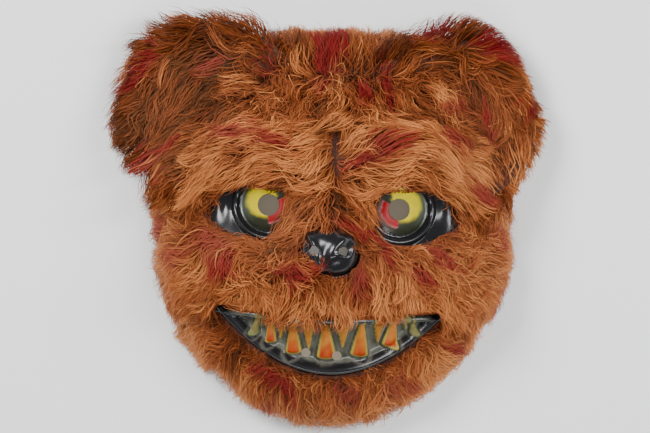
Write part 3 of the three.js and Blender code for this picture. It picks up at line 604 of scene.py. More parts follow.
def eye_paint(x, y, colour):
    """Yellow and red round each pupil, with a grey ring round the ball, which has its own middle, and a painted
    highlight: a pale grey stroke on the ball's outer edge.
    """
    dx, dy = np.abs(x) - EYE_X, y - EYE_Y
    away = np.hypot(dx, dy)
    from_ball = np.hypot(dx - BALL_SHIFT, dy)
    turn = np.degrees(np.arctan2(dy, dx)) % 360
    grain = waves(3, 5.0)(x, y)
    ball = smooth((BALL_R + 0.4 - from_ball) / 0.9)
    colour = paint_over(colour, (0.02, 0.022, 0.012), ball)
    side = smooth(1 - np.abs((turn + 180) % 360 - 200) / 80)
    colour = paint_over(colour, (0.085, 0.11, 0.07), ball * side)
    nose_side = smooth(1 - np.abs(turn - 200) / 75)
    nose_side = nose_side * smooth((away - 10.5) / 2) * (0.85 + 0.15 * grain)
    colour = paint_over(colour, (0.16, 0.11, 0.1), ball * nose_side)
    colour = paint_over(colour, (0.03, 0.034, 0.024), ball * smooth(1 - np.abs(turn - 128) / 26) * 0.9)
    from_low = (turn + 92) % 360
    span = smooth(from_low / 6) * smooth((232 - from_low) / 10)
    reach = mix(9.8, 17.5, smooth(from_low / 130)) - 8 * smooth((from_low - 196) / 24) + 0.4 * grain
    colour = paint_over(colour, (0.54, 0.44, 0.0), smooth((reach - away) / 4.2) * span * ball)
    sector = smooth((turn - 150) / 4) * smooth((270 - turn) / 4)
    colour = paint_over(colour, (0.4, 0.12, 0.12), sector * smooth((12.3 + grain * 0.2 - away) / 0.5))
    colour = paint_over(colour, (0.24, 0.0, 0.003), sector * smooth((11.6 + grain * 0.2 - away) / 0.7))
    # Painted highlight: a pale grey stroke on the ball's outer edge, where the glossy dome catches the light.
    painted_edge_highlight = smooth(1 - np.abs(from_ball - 15.9) / 0.65) * smooth(1 - np.abs((turn + 180) % 360 - 178) / 42)
    colour = paint_over(colour, (0.42, 0.42, 0.44), painted_edge_highlight * 0.8)
    return paint_over(colour, BLACK, smooth((from_ball - 15.7) / 1.6) * (away < 24) * (1 - painted_edge_highlight) * 0.85)


def mouth_paint(x, y, colour):
    low, high, inside = mouth_parts(x, y)
    grain = waves(5, 7.0)(x, y)
    patch = smooth(0.5 + 0.6 * waves(6, 13.0)(x, y))
    aside = smooth((np.abs(x) / MOUTH_HALF - 0.5) / 0.35)
    gum = smooth((low - LIP_WIDTH + 0.5) / 1.5) * smooth(high / 3)
    tone = mix(np.array([0.045, 0.05, 0.032]), np.array([0.125, 0.125, 0.095]), patch[:, None])
    colour = mix(colour, tone, (inside * gum * (1 - 0.45 * aside) * (0.9 + 0.1 * grain))[:, None])
    colour = paint_over(colour, (0.012, 0.014, 0.012), inside * smooth((low - 17) / 12) * 0.6)
    # Painted highlight: a pale line along the outline of each tooth, standing in for light on the gum ridges
    # round the teeth.
    outline = np.max([tooth_edge(tooth, x, y) for tooth in TEETH], axis=0)
    outline = smooth(outline * 1.4 - 0.2) * 0.34 * (1 - 0.5 * aside)
    colour = paint_over(colour, (0.17, 0.165, 0.13), inside * outline)
    for tooth in TEETH:
        depth, t = tooth_at(tooth, x, y)
        upper = tooth[2] > 0.9
        small = abs(tooth[0]) > 0.54
        rim = smooth((depth - 0.5) / 0.14)
        edge = (0.15, 0.17, 0.06) if small else (0.38, 0.3, 0.05)
        colour = paint_over(colour, edge, rim * smooth((1.0 - t) * 10))
        heart = smooth((depth - 0.7) / 0.16) * smooth((0.97 - t) * 5)
        tip, base = np.array([0.5, 0.17, 0.02]), np.array([0.32, 0.01, 0.004])
        if upper:
            tip, base = np.array([0.36, 0.14, 0.015]), np.array([0.26, 0.02, 0.008])
        core = mix(base, tip, smooth((t + 0.12 + 0.1 * grain) / 0.8)[:, None])
        colour = mix(colour, core, (heart * (0.15 if small else 0.97))[:, None])
    return colour


def face_paint(x, y, points):
    """The colour of each point, and whether it is painted, which is duller than the bare plastic."""
    colour = np.broadcast_to(BLACK, (len(x), 3)).copy()
    colour = mouth_paint(x, y, eye_paint(points[:, 0], points[:, 1], colour))
    from_ball = np.hypot(np.abs(points[:, 0]) - EYE_X - BALL_SHIFT, points[:, 1] - EYE_Y)
    tooth = np.max([tooth_at(t, x, y)[0] for t in TEETH], axis=0)
    return colour, (from_ball < BALL_R - 1) | (tooth > 0.3)


def build_shell():
    bare = shell_material("formed_plastic", 0.5, 0.14, 0.3)
    paint = shell_material("painted_plastic", 0.16, 0.3, 0.45)
    points, faces, uv, x, y = pierced_face(patchwork(FRONT_SQUARES, FINER), 0.0)
    edges = boundary_edges(faces)
    ids = np.unique(edges)
    rim = rim_share(x[ids], y[ids]) > 0.99
    under = points[ids] - form_normal(x[ids], y[ids]) * WALL
    under[~rim, :2] = points[ids][~rim, :2]
    under[rim, 2] = 0
    place = np.full(len(points), -1)
    place[ids] = np.arange(len(ids)) + len(points)
    walls = np.stack([edges[:, 1], edges[:, 0], place[edges[:, 0]], place[edges[:, 1]]], 1)
    colour, painted = face_paint(x, y, points)
    points = np.concatenate([points, under])
    colour = np.concatenate([colour, np.broadcast_to(BLACK, (len(ids), 3))])
    painted = np.concatenate([painted, np.zeros(len(ids), bool)])
    uv = np.concatenate([uv, uv[ids]])
    faces = np.concatenate([faces, walls])
    points, faces, uv, colour, painted = drop_unused(points, faces, uv, colour, painted)
    mesh = mesh_of("face_front", points, faces, uv, colour)
    mesh.polygons.foreach_set("material_index", (painted[faces].sum(1) > 2).astype(np.int32))
    add_piece("face_front", mesh, ["face_shell"], [bare, paint])

    points, faces, uv, _, _ = pierced_face(patchwork(INSIDE_SQUARES, FINER), -WALL)
    colour = np.broadcast_to(BLACK * 1.3, (len(points), 3))
    points, faces, uv, colour = drop_unused(points, faces[:, ::-1], uv, colour)
    mesh = mesh_of("face_inside", points, faces, uv, colour)
    add_piece("face_inside", mesh, ["face_shell"], [bare])


# The photograph: its size and the mask's middle in pixels, a pixel's size on the mask, and the mask's roll.

PHOTO_WIDTH, PHOTO_HEIGHT = 650, 433
PHOTO_MIDDLE = (333, 225)
PIXEL, ROLL = 0.65, math.radians(2.1)

# Stains, measured in the photograph: x, y, half length, half width in its pixels, turn in degrees, strength.

STAINS = [
    (137, 66, 28, 8, 53, 0.75),
    (208, 60, 16, 8, 50, 0.4),
    (145, 166, 14, 6, -50, 0.85),
    (166, 146, 18, 4, 42, 0.6),
    (266, 62, 18, 6, 80, 1.0),
    (325, 58, 30, 9, 84, 1.0),
    (332, 36, 16, 8, 0, 0.7),
    (363, 92, 11, 6, 90, 0.75),
    (387, 80, 28, 4.5, 100, 0.9),
    (432, 30, 22, 9, 8, 0.85),
    (495, 38, 20, 6, -50, 0.8),
    (503, 52, 12, 8, -60, 0.5),
    (531, 105, 8, 7, 0, 0.8),
    (455, 105, 16, 5, 0, 0.4),
    (488, 125, 20, 6, 100, 0.5),
    (238, 129, 20, 8, 5, 0.45),
    (270, 139, 12, 7, -25, 0.85),
    (380, 156, 30, 7, 20, 0.95),
    (392, 138, 22, 5, -12, 0.65),
    (360, 160, 10, 8, 30, 0.9),
    (452, 137, 14, 6, -40, 0.45),
    (479, 192, 15, 7, -45, 0.42),
    (350, 226, 12, 5, -20, 0.7),
    (362, 232, 11, 5, -30, 0.9),
    (388, 251, 15, 6, 100, 0.9),
    (292, 274, 17, 11, -10, 0.95),
    (320, 268, 12, 5, -10, 0.6),
    (205, 240, 19, 10, -15, 0.34),
    (222, 262, 15, 11, 0, 0.5),
    (160, 228, 16, 5, 80, 0.38),
    (176, 255, 12, 9, 0, 0.3),
    (362, 287, 15, 12, 60, 0.42),
    (446, 262, 17, 7, -35, 0.5),
    (424, 278, 14, 6, -35, 0.5),
    (497, 238, 12, 5, -70, 0.45),
    (500, 298, 15, 7, 60, 0.36),
    (453, 349, 14, 4, -12, 0.5),
    (277, 386, 23, 9, -32, 0.78),
    (254, 372, 9, 6, 0, 0.5),
    (262, 410, 13, 8, 0, 0.3),
    (345, 396, 16, 12, 0, 0.25),
    (400, 386, 20, 8, 20, 0.25),
]


def place_of(px, py):
    """The place on the mask, in millimetres, of a place in the photograph."""
    ux, uy = (px - PHOTO_MIDDLE[0]) * PIXEL, (PHOTO_MIDDLE[1] - py) * PIXEL
    return ux * math.cos(ROLL) - uy * math.sin(ROLL), ux * math.sin(ROLL) + uy * math.cos(ROLL)


def stain_at(x, y):
    ragged = 0.35 * waves(11, 9.0)(x, y) + 0.2 * waves(12, 4.0)(x, y)
    total = np.zeros_like(x)
    for px, py, length, width, turn, strength in STAINS:
        cx, cy = place_of(px, py)
        a = math.radians(turn) + ROLL
        along = ((x - cx) * math.cos(a) + (y - cy) * math.sin(a)) / (length * PIXEL)
        across = (-(x - cx) * math.sin(a) + (y - cy) * math.cos(a)) / (width * PIXEL)
        inside = smooth((1.25 + ragged - np.hypot(along, across)) / 0.5)
        total = np.maximum(total, inside * strength)
    return np.clip(1.3 * total, 0, 1)


# The pile

LARGE_TURN, SMALL_TURN, FINE_TURN = waves(21, 60.0), waves(22, 21.0), waves(23, 9.0)


def rotate(fx, fy, angle):
    c, s = np.cos(angle), np.sin(angle)
    return fx * c - fy * s, fx * s + fy * c


def swirl(x, y, large, small, fine):
    return large * LARGE_TURN(x, y) + small * SMALL_TURN(x, y) + fine * FINE_TURN(x, y)


def pile_flow(x, y):
    """How the pile lies on the face, seen from the front: a unit vector for each place."""
    side = np.where(x < 0, -1.0, 1.0)
    aside = x / HALF
    out = np.abs(x)
    crown = smooth((y - crown_seam(x) + 3) / 6)
    brow = smooth((y - brow_seam(x) + 3) / 6) * (1 - crown)
    up = smooth((y - 84) / 30)
    cx, cy = rotate(0.5 * aside + 0 * x, mix(-1.0, 0.9, up), swirl(x, y, 0.4, 0.6, 0.5) * (1 - 0.5 * up))
    middle = (crown_seam(x) + brow_seam(x)) / 2
    level = np.clip((y - middle) / 20, -1, 1)
    right = np.interp(out, [2, 14, 30, 55, 90], [70, 52, 24, -6, -40]) + 10 * level
    left = np.interp(out, [2, 14, 30, 60, 90], [-30, -14, -2, -10, -30]) + 14 * level
    lift = np.radians(np.where(x > 0, right, left)) + side * swirl(x, y, 0.22, 0.3, 0.16)
    between = bell(x / 30, (y - 30) / 24)
    bx, by = side * np.cos(lift) * (1 - 0.8 * between), mix(np.sin(lift), -1.1, between)
    from_nose = unit(np.stack([x + 1, y + 4], -1))
    near = np.exp(-((np.hypot(x + 1, y + 10) / 42) ** 2))
    mx = mix(aside * 0.9, from_nose[..., 0], near)
    my = mix(-1.0, from_nose[..., 1] - 0.7, near)
    under_eye = bell((out - 52) / 42, (y + 12) / 22)
    mx, my = mx + side * 0.8 * under_eye, my + 0.3 * under_eye
    temple = bell((out - 100) / 40, (y - 8) / 32)
    mx, my = mx + side * 1.3 * temple, my + 0.5 * temple
    beside_nose = 1.9 * bell((x + 18) / 26, (y + 29) / 20)
    mx, my = mx + 1.5 * beside_nose, my * (1 - 0.6 * beside_nose) + 0.7 * beside_nose
    bridge = bell((x - 2) / 30, (y - 12) / 30)
    mx, my = mx + 0.5 * bridge, my - 2.4 * bridge
    mx, my = rotate(mx, my, swirl(x, y, 0.4, 0.6, 0.4))
    fx = cx * crown + bx * brow + mx * (1 - crown - brow)
    fy = cy * crown + by * brow + my * (1 - crown - brow)
    return unit(np.stack([fx, fy], -1))


PER_GUIDE, PER_BIGGER = 26, 110  # hairs for each small and each large clump

# How each kind of pile grows. Lengths, heights above the face, widths and curls in millimetres. lift is how
# steeply a hair leaves the cloth, turn and wander how much the clumps and steps differ in direction, small
# and large how strongly the two sizes of clump gather their hairs.
PILES = {
    "face": dict(
        rows=5, length=31, low=2, high=16, lift=0.5, width=0.68, turn=0.48, wander=0.13, small=0.88, large=0.6,
        curl=1.4, wave=19, tints=(1.4, 3, 4.2, 4.6, 4, 3, 1.2, 1.8),
    ),
    "brow": dict(
        rows=5, length=34, low=3, high=15, lift=0.4, width=0.66, turn=0.32, wander=0.1, small=0.88, large=0.6,
        curl=1.1, wave=22, tints=(3.2, 5.5, 4.6, 3.4, 2, 1.4, 0.5, 0.8),
    ),
    "crown": dict(
        rows=6, length=29, low=3, high=16, lift=0.75, width=0.62, turn=0.5, wander=0.2, small=0.8, large=0.36,
        curl=1.6, wave=17, tints=(0.3, 0.9, 2, 3, 4, 4.2, 3.6, 4),
    ),
    "ear": dict(
        rows=5, length=30, low=3, high=12, lift=0.45, width=0.66, turn=0.36, wander=0.12, small=0.9, large=0.6,
        curl=1.4, wave=21, tints=(0.4, 1, 1.8, 2.8, 4, 4.6, 3.6, 4.6),
    ),
}

# How far the pile stands past the rim, by the angle round the face.
REACH = [  # degrees, mm
    (-180, 22), (-160, 27), (-140, 18), (-120, 12), (-104, 19), (-90, 17), (-75, 15), (-60, 10), (-45, 11),
    (-28, 21), (-10, 28), (0, 17), (10, 20), (20, 33), (30, 44), (42, 52), (52, 52), (60, 47), (70, 29),
    (80, 12), (90, 16), (100, 16), (110, 26), (120, 38), (130, 58), (140, 65), (158, 60), (170, 45), (180, 22),
]


def face_paths(root, normal, spec, hair):
    """Points of hairs on the face, from their roots. hair holds each hair's length, height, lift and turn."""
    path = [root]
    at, heading, turn = root, None, hair["turn"].copy()
    step = (hair["length"] / spec["rows"])[:, None]
    for k in range(spec["rows"]):
        x, y = at[:, 0], at[:, 1]
        n = form_normal(x, y)
        steep = smooth((0.75 - n[:, 2]) / 0.6)[:, None]
        share = rim_share(x, y)
        outside = (share - 1) * rim_radius(np.arctan2(y - CENTRE, x))
        above = np.where(share < 0.97, (at[:, 2] - form_height(x, y)) * n[:, 2], outside)
        lie = pile_flow(x, y)
        lie = np.stack([*rotate(lie[:, 0], lie[:, 1], turn), np.zeros(len(lie))], 1)
        lie = lie - n * (lie * n).sum(1, keepdims=True) * (1 - 0.45 * steep)
        lie[:, 2] -= 0.4 * steep[:, 0]
        lie = unit(lie)
        if heading is None:
            heading = unit(lie * (1 - hair["lift"][:, None]) + normal * hair["lift"][:, None])
        target = hair["height"] * min(1, 1.6 * (k + 1) / spec["rows"] + 0.1)
        settle = np.clip((target - above) / step[:, 0], -0.7, 0.9)
        heading = unit(heading * 0.4 + lie * 0.6 + n * (settle * 0.55)[:, None])
        at = at + heading * step
        at[:, 2] = np.maximum(at[:, 2], 1.6)
        path.append(at)
        turn = turn + hair["wander"][:, k]
    return np.stack(path, 1)


def hair_kinds(spec, count, dice, shorn):
    """Each hair's length, height, lift and turns."""
    return dict(
        length=spec["length"] * dice.uniform(0.68, 1.2, count) * (0.72 + 0.28 * shorn),
        height=dice.uniform(spec["low"], spec["high"], count) * (0.4 + 0.6 * shorn),
        lift=spec["lift"] * dice.uniform(0.7, 1.25, count),
        turn=dice.normal(0, spec["turn"], count),
        wander=dice.normal(0, spec["wander"], (count, spec["rows"])),
    )


def nearest_of(roots, guide_roots):
    tree = KDTree(len(guide_roots))
    for i, p in enumerate(guide_roots):
        tree.insert(p, i)
    tree.balance()
    return np.array([tree.find(p)[1] for p in roots])


def gather(paths, guides, strength):
    """Draws each hair towards its guide, more at the tip."""
    along = np.linspace(0, 1, paths.shape[1])[None, :, None] ** 1.1
    return mix(paths, guides, along * np.clip(strength, 0, 0.97)[:, None, None])


def curled(paths, normals, amount, wavelength, phase):
    """Adds a sideways wave to each hair."""
    step = np.linalg.norm(paths[:, 1:] - paths[:, :-1], axis=2)
    run = np.concatenate([np.zeros((len(paths), 1)), np.cumsum(step, 1)], 1)
    along = unit(paths[:, -1] - paths[:, 0])
    across = unit(np.cross(along, normals))
    turns = run / wavelength[:, None] * 2 * np.pi + phase[:, None]
    grow = np.linspace(0, 1, paths.shape[1])[None, :] * amount[:, None]
    aside = (np.sin(turns) - np.sin(phase)[:, None]) * grow
    rise = 0.5 * (np.cos(turns) - np.cos(phase)[:, None]) * grow
    return paths + across[:, None, :] * aside[:, :, None] + normals[:, None, :] * rise[:, :, None]


def trimmed(paths, beyond, shortest):
    """Ends each hair before the first place where beyond(x, y) is above 0."""
    rows = paths.shape[1]
    index = np.arange(len(paths))[:, None]

    def at(place):
        low = np.minimum(place.astype(int), rows - 2)
        share = (place - low)[..., None]
        return paths[index, low] * (1 - share) + paths[index, low + 1] * share

    probes = 15
    fine = at(np.broadcast_to(np.linspace(0, rows - 1, probes), (len(paths), probes)))
    over = beyond(fine[..., 0], fine[..., 1]) > 0
    last = np.where(over.any(1), np.maximum(over.argmax(1) - 1, shortest), probes - 1) / (probes - 1)
    return at(np.linspace(0, rows - 1, rows)[None, :] * last[:, None])


def raised(paths):
    """Keeps what reaches over an opening in front of the plastic's relief, and clear of the nose's steep wall."""
    x, y = paths[..., 0], paths[..., 1]
    over = np.nonzero((opening_distance(x, y) < 1) | (nose_distance(x, y) < 4))
    nose_wall = bell(nose_distance(x[over], y[over]) / 7, 0)
    floor = form_height(x[over], y[over]) + relief(x[over], y[over]) + 0.6 + 4.5 * nose_wall
    paths[(*over, 2)] = np.maximum(paths[(*over, 2)], floor)
    return paths


def past_outline(x, y):
    """How far a place is outside the pile's outline."""
    angle = np.arctan2(y - CENTRE, x)
    degrees, reach = np.array(REACH, float).T
    return np.hypot(x, y - CENTRE) - rim_radius(angle) - np.interp(np.degrees(angle), degrees, reach)


def fringe(x, y, right_ear, dice):
    """How far each hair may stand past the outline: in tufts, but trimmed on the right ear."""
    tufts = 8 * smooth(0.4 + 0.8 * waves(51, 11.0)(x, y)) - 2.5 + dice.exponential(1.4, len(x))
    return np.where(right_ear, dice.exponential(0.5, len(x)) - 0.6, tufts)


def overhang(x, y, dice):
    """How far each hair may reach over an opening."""
    spare = 0.6 + dice.exponential(1.3, len(x))
    moustache = (y > -64) & (y < -22) & (np.abs(x) < 78)
    corner = smooth((np.abs(x) - 34) / 20)
    tufts = 14 * smooth(0.3 + 0.75 * waves(43, 13.0)(x, 0 * y)) ** 1.5 + dice.exponential(1, len(x)) * 1.6
    spare = np.where(moustache, mix(0.5, 0, corner) + tufts * mix(1, 0.14, corner), spare)
    right_eye = bell((x - 44) / 34, (y - 8) / 32)
    spare = spare * (1 - 0.85 * smooth(right_eye * 4))
    inner_left = bell((x + 28) / 15, (y - 4) / 24)
    nose_low = smooth(1.6 * bell((x + 19) / 18, (y + 31) / 15))
    nose_top = bell((x - 2) / 24, (y + 2) / 12)
    return np.minimum(spare + 7 * inner_left + 12 * nose_low + 6 * nose_top, 15)


def comb(paths, roots, normals, guides, guide_roots, bigger, bigger_roots, spec, dice):
    """Gathers hairs in two sizes of clump and curls them."""
    to_bigger = nearest_of(guide_roots, bigger_roots)
    guides = gather(guides, bigger[to_bigger], spec["large"] * dice.uniform(0.5, 1.5, len(guides)))
    nearest = nearest_of(roots, guide_roots)
    stray = dice.uniform(0, 1, len(roots)) < 0.07
    strength = spec["small"] * dice.uniform(0.65, 1.15, len(roots)) * np.where(stray, 0.15, 1)
    paths = gather(paths, guides[nearest], strength)
    wavelength = spec["wave"] * dice.uniform(0.75, 1.3, len(guides))[nearest]
    phase = dice.uniform(0, 2 * np.pi, len(guides))[nearest] + dice.normal(0, 0.45, len(roots))
    amount = spec["curl"] * dice.uniform(0.4, 1.5, len(guides))[nearest] * dice.uniform(0.7, 1.3, len(roots))
    return curled(paths, normals, amount * np.where(stray, 1.6, 1), wavelength, phase), nearest, stray


def pick_tints(spec, x, y, height, clump, dice):
    """Each hair's tint: paler for hairs standing high and darker for low ones, which is painted shade, and
    drifting from clump to clump and over the surface.
    """
    weights = np.array(spec["tints"], float)
    edges = np.cumsum(weights / weights.sum())
    drift = 0.13 * waves(31, 26.0)(x, y) + 0.1 * waves(32, 9.0)(x, y)
    high = (height - spec["low"]) / (spec["high"] - spec["low"])
    # Paler over the muzzle's middle, on the right below the crown and towards the outline, and darker between the
    # eyes; darker on the crown's upper left and inside both ears, which is painted shade where they meet the
    # head.
    tone_and_painted_shade = 0.27 * bell(x / 60, (y + 50) / 40) - 0.3 * bell((x - 2) / 42, (y - 9) / 26)
    tone_and_painted_shade = tone_and_painted_shade + 0.13 * smooth((x - 5) / 45) * smooth((70 - y) / 30)
    tone_and_painted_shade = tone_and_painted_shade + 0.38 * smooth((past_outline(x, y) + 13) / 14)
    tone_and_painted_shade = tone_and_painted_shade - 0.22 * smooth((-62 - x) / 20) * smooth((y - 38) / 20)
    tone_and_painted_shade = tone_and_painted_shade - 0.32 * bell((x + 88) / 20, (y - 86) / 42) - 0.32 * bell((x - 93) / 15, (y - 58) / 44)
    # The height term is painted shade: hairs low in the pile are darker.
    value = 0.5 + dice.normal(0, 0.1, len(x)) + clump * 0.19 + drift - (high - 0.5) * 0.55 - tone_and_painted_shade
    return np.searchsorted(edges, np.clip(value, 0, 0.999)).clip(0, len(TINTS) - 1)


def ribbon_mesh(name, paths, normals, width, tint, stain, dice):
    """One flat tapering ribbon for each hair, with its shading turned towards the surface below it."""
    count, rows = paths.shape[:2]
    ahead = unit(np.concatenate([paths[:, 1:] - paths[:, :-1], paths[:, -1:] - paths[:, -2:-1]], 1))
    facing = unit(normals[:, None, :] + np.array([0, 0, 0.7]) + dice.normal(0, 0.22, (count, 1, 3)))
    across = unit(np.cross(ahead, facing))
    flat = unit(np.cross(across, ahead))
    taper = np.interp(np.linspace(0, 1, rows), [0, 0.3, 0.7, 1], [0.8, 1, 0.68, 0.05])
    half = across * (width[:, None] * taper[None, :] / 2)[:, :, None]
    body = np.stack([paths[:, :-1] - half[:, :-1], paths[:, :-1] + half[:, :-1]], 2)
    points = np.concatenate([body.reshape(count, 2 * (rows - 1), 3), paths[:, -1:]], 1)
    per = 2 * rows - 1
    pattern = [i for k in range(rows - 2) for i in (2 * k, 2 * k + 1, 2 * k + 3, 2 * k + 2)]
    pattern = np.array(pattern + [2 * rows - 4, 2 * rows - 3, 2 * rows - 2])
    sizes = np.array([4] * (rows - 2) + [3])
    mesh = bpy.data.meshes.new(name)
    mesh.vertices.add(count * per)
    mesh.vertices.foreach_set("co", to_metres(points.reshape(-1, 3)).astype(np.float32).ravel())
    loops = (pattern[None, :] + per * np.arange(count)[:, None]).ravel()
    mesh.loops.add(len(loops))
    mesh.loops.foreach_set("vertex_index", loops.astype(np.int32))
    starts = np.concatenate([[0], np.cumsum(sizes)[:-1]])
    starts = (starts[None, :] + len(pattern) * np.arange(count)[:, None]).ravel()
    mesh.polygons.add(len(starts))
    mesh.polygons.foreach_set("loop_start", starts.astype(np.int32))
    mesh.polygons.foreach_set("loop_total", np.tile(sizes, count).astype(np.int32))
    mesh.update(calc_edges=True)
    mesh.shade_smooth()
    shade = unit(0.6 * normals[:, None, :] + 0.6 * flat + dice.normal(0, 0.12, (count, 1, 3)))
    shade = np.concatenate([np.repeat(shade[:, :-1], 2, axis=1), shade[:, -1:]], 1).reshape(-1, 3)
    mesh.normals_split_custom_set_from_vertices(shade.astype(np.float32))
    v = (tint[:, None] + np.linspace(0.05, 0.95, rows)[None, :]) / len(TINTS)
    u = np.clip(stain[:, None] * np.linspace(0.55, 1.0, rows)[None, :], 0.01, 0.98)
    u_body = (u[:, :-1, None] + np.array([-0.008, 0.008])).reshape(count, -1)
    v_body = np.repeat(v[:, :-1], 2, axis=1)
    places = np.stack([np.concatenate([u_body, u[:, -1:]], 1), np.concatenate([v_body, v[:, -1:]], 1)], 2)
    places = places.reshape(-1, 2)[loops].astype(np.float32).ravel()
    for layer in ("FurTint", "OFBake"):
        mesh.uv_layers.new(name=layer).data.foreach_set("uv", places)
    return mesh


def add_pile(name, kind, hairs, guides, bigger, node_name, material, seed, front=None):
    """Combs, trims, tints and builds one piece's hairs. hairs, guides and bigger are (paths, roots, ...)."""
    spec = PILES[kind]
    dice = np.random.default_rng(seed)
    paths, roots, normals, height = hairs
    paths, clump_of, stray = comb(paths, roots, normals, *guides[:2], *bigger[:2], spec, dice)
    if kind != "ear":
        spare = overhang(roots[:, 0], roots[:, 1], dice)[:, None]
        paths = raised(trimmed(paths, lambda x, y: -opening_distance(x, y) - spare, 1))
    past = fringe(roots[:, 0], roots[:, 1], (kind == "ear") & (roots[:, 0] > 0), dice)[:, None]
    paths = trimmed(paths, lambda x, y: past_outline(x, y) - past, 5)
    paths[:, :, 2] = np.maximum(paths[:, :, 2], 1.2)
    middle = paths[:, spec["rows"] // 2 + 1]
    stain = stain_at(middle[:, 0], middle[:, 1]) * dice.uniform(0.75, 1.1, len(paths))
    if front is not None:
        stain = stain * np.where(front > 0, 1, 0.2)
    clump = dice.normal(0, 1, len(guides[0]))[clump_of]
    tint = pick_tints(spec, middle[:, 0], middle[:, 1], height, clump, dice)
    width = spec["width"] * dice.uniform(0.6, 1.3, len(paths)) * np.where(stray, 0.7, 1)
    mesh = ribbon_mesh(name, paths, normals, width, tint, stain, dice)
    add_piece(name, mesh, [node_name], [material])


def grow_face_pile(name, kind, count, chosen, node_name, material, seed):
    """The hairs of one piece: rooted where chosen(x, y) is true."""
    spec = PILES[kind]

    def grow(number, more):
        dice = np.random.default_rng(seed + more)
        r = np.sqrt(dice.uniform(0, 0.985**2, number * 16))
        angle = dice.uniform(0, 2 * np.pi, len(r))
        x, y = disc_to_face(r * np.cos(angle), r * np.sin(angle))
        bare = opening_distance(x, y)
        keep = chosen(x, y) & (bare > 0.4)
        x, y, bare = x[keep], y[keep], bare[keep]
        beside = np.flatnonzero(bare[number:] < 5)[: number // 9] + number
        picked = np.concatenate([np.arange(min(number, len(x))), beside])
        short = picked >= number
        x, y = x[picked], y[picked]
        n = form_normal(x, y)
        root = np.stack([x, y, form_height(x, y)], 1) + n * ROOT_HEIGHT
        shorn = smooth(opening_distance(x, y) / 12)
        hair = hair_kinds(spec, len(x), dice, shorn)
        edge = smooth((rim_share(x, y) - 0.7) / 0.25)
        below = smooth((60 - y) / 60)
        hair["length"] *= (1 + 0.15 * edge * below) * np.where(short, 0.42, 1)
        hair["height"] *= (1 + 0.3 * edge * below) * np.where(short, 0.6, 1)
        hair["turn"] += np.where(short, dice.normal(0, 1.5, len(x)), 0)
        return face_paths(root, n, spec, hair), root, n, hair["height"]

    hairs, guides, bigger = grow(count, 0), grow(count // PER_GUIDE, 1), grow(count // PER_BIGGER, 2)
    add_pile(name, kind, hairs, guides, bigger, node_name, material, seed + 3)


def build_backing(name, node_name, chosen, material):
    """The cloth that the pile grows from."""
    a, b, faces = disc_grid(CLOTH_SQUARES)
    x, y = disc_to_face(a, b)
    mx, my = x[faces].mean(1), y[faces].mean(1)
    faces = faces[chosen(mx, my) & (opening_distance(mx, my) > 0) & (np.hypot(a, b)[faces] < 0.995).all(1)]
    ids = np.unique(boundary_edges(faces))
    ids = ids[opening_distance(x[ids], y[ids]) < 2.5]
    for _ in range(3):
        here = opening_distance(x[ids], y[ids])
        slope_x = (opening_distance(x[ids] + 0.1, y[ids]) - here) / 0.1
        slope_y = (opening_distance(x[ids], y[ids] + 0.1) - here) / 0.1
        steep = np.maximum(slope_x**2 + slope_y**2, 0.3)
        x[ids] -= np.clip(here * slope_x / steep, -2, 2)
        y[ids] -= np.clip(here * slope_y / steep, -2, 2)
    n = form_normal(x, y)
    inner = np.stack([x, y, form_height(x, y)], 1) + n * CLOTH_GAP
    outer = inner + n * CLOTH_THICK
    edges = boundary_edges(faces)
    walls = np.stack([edges[:, 1], edges[:, 0], edges[:, 0] + len(x), edges[:, 1] + len(x)], 1)
    both = np.concatenate([faces, faces[:, ::-1] + len(x), walls])
    points, both = drop_unused(np.concatenate([outer, inner]), both)
    mesh = mesh_of(name, points, both, points[:, :2] / MAP_SPAN + 0.5)
    return add_piece(name, mesh, [node_name], [material])


# The ears

EAR_REACH = {-1: 72.0, 1: 65.0}
EAR_SIDES = {-1: "left", 1: "right"}
EAR_TOP, EAR_SIDE, EAR_ROOT = math.radians(108), math.radians(169), 0.9
EAR_HIGH, EAR_LOW, EAR_THICK, EAR_CUP = 36.0, 16.0, 14.0, 10.0


def ear_frame(side):
    def place(angle):
        radius = float(rim_radius(np.array(angle))) * EAR_ROOT
        return np.array([-side * radius * math.cos(angle), CENTRE + radius * math.sin(angle), 0.0])

    top, low = place(EAR_TOP), place(EAR_SIDE)
    along = (top - low) / np.linalg.norm(top - low)
    out = np.array([along[1] * side, -along[0] * side, 0.0])
    return (top + low) / 2, along, out, np.linalg.norm(top - low) / 2


def ear_place(side, s, t):
    middle, along, out, half_root = ear_frame(side)
    share = np.clip(t / EAR_REACH[side], 0, 1)
    half = half_root * np.sqrt(np.maximum(0, 1 - share**3))
    cup = (s * s * 0.7 + 0.5 * share**3 - 0.5) * (half / half_root)
    at = middle + along * (s * half)[..., None] + out * t[..., None]
    at[..., 2] = mix(EAR_HIGH, EAR_LOW, smooth(share)) + EAR_CUP * cup
    return at


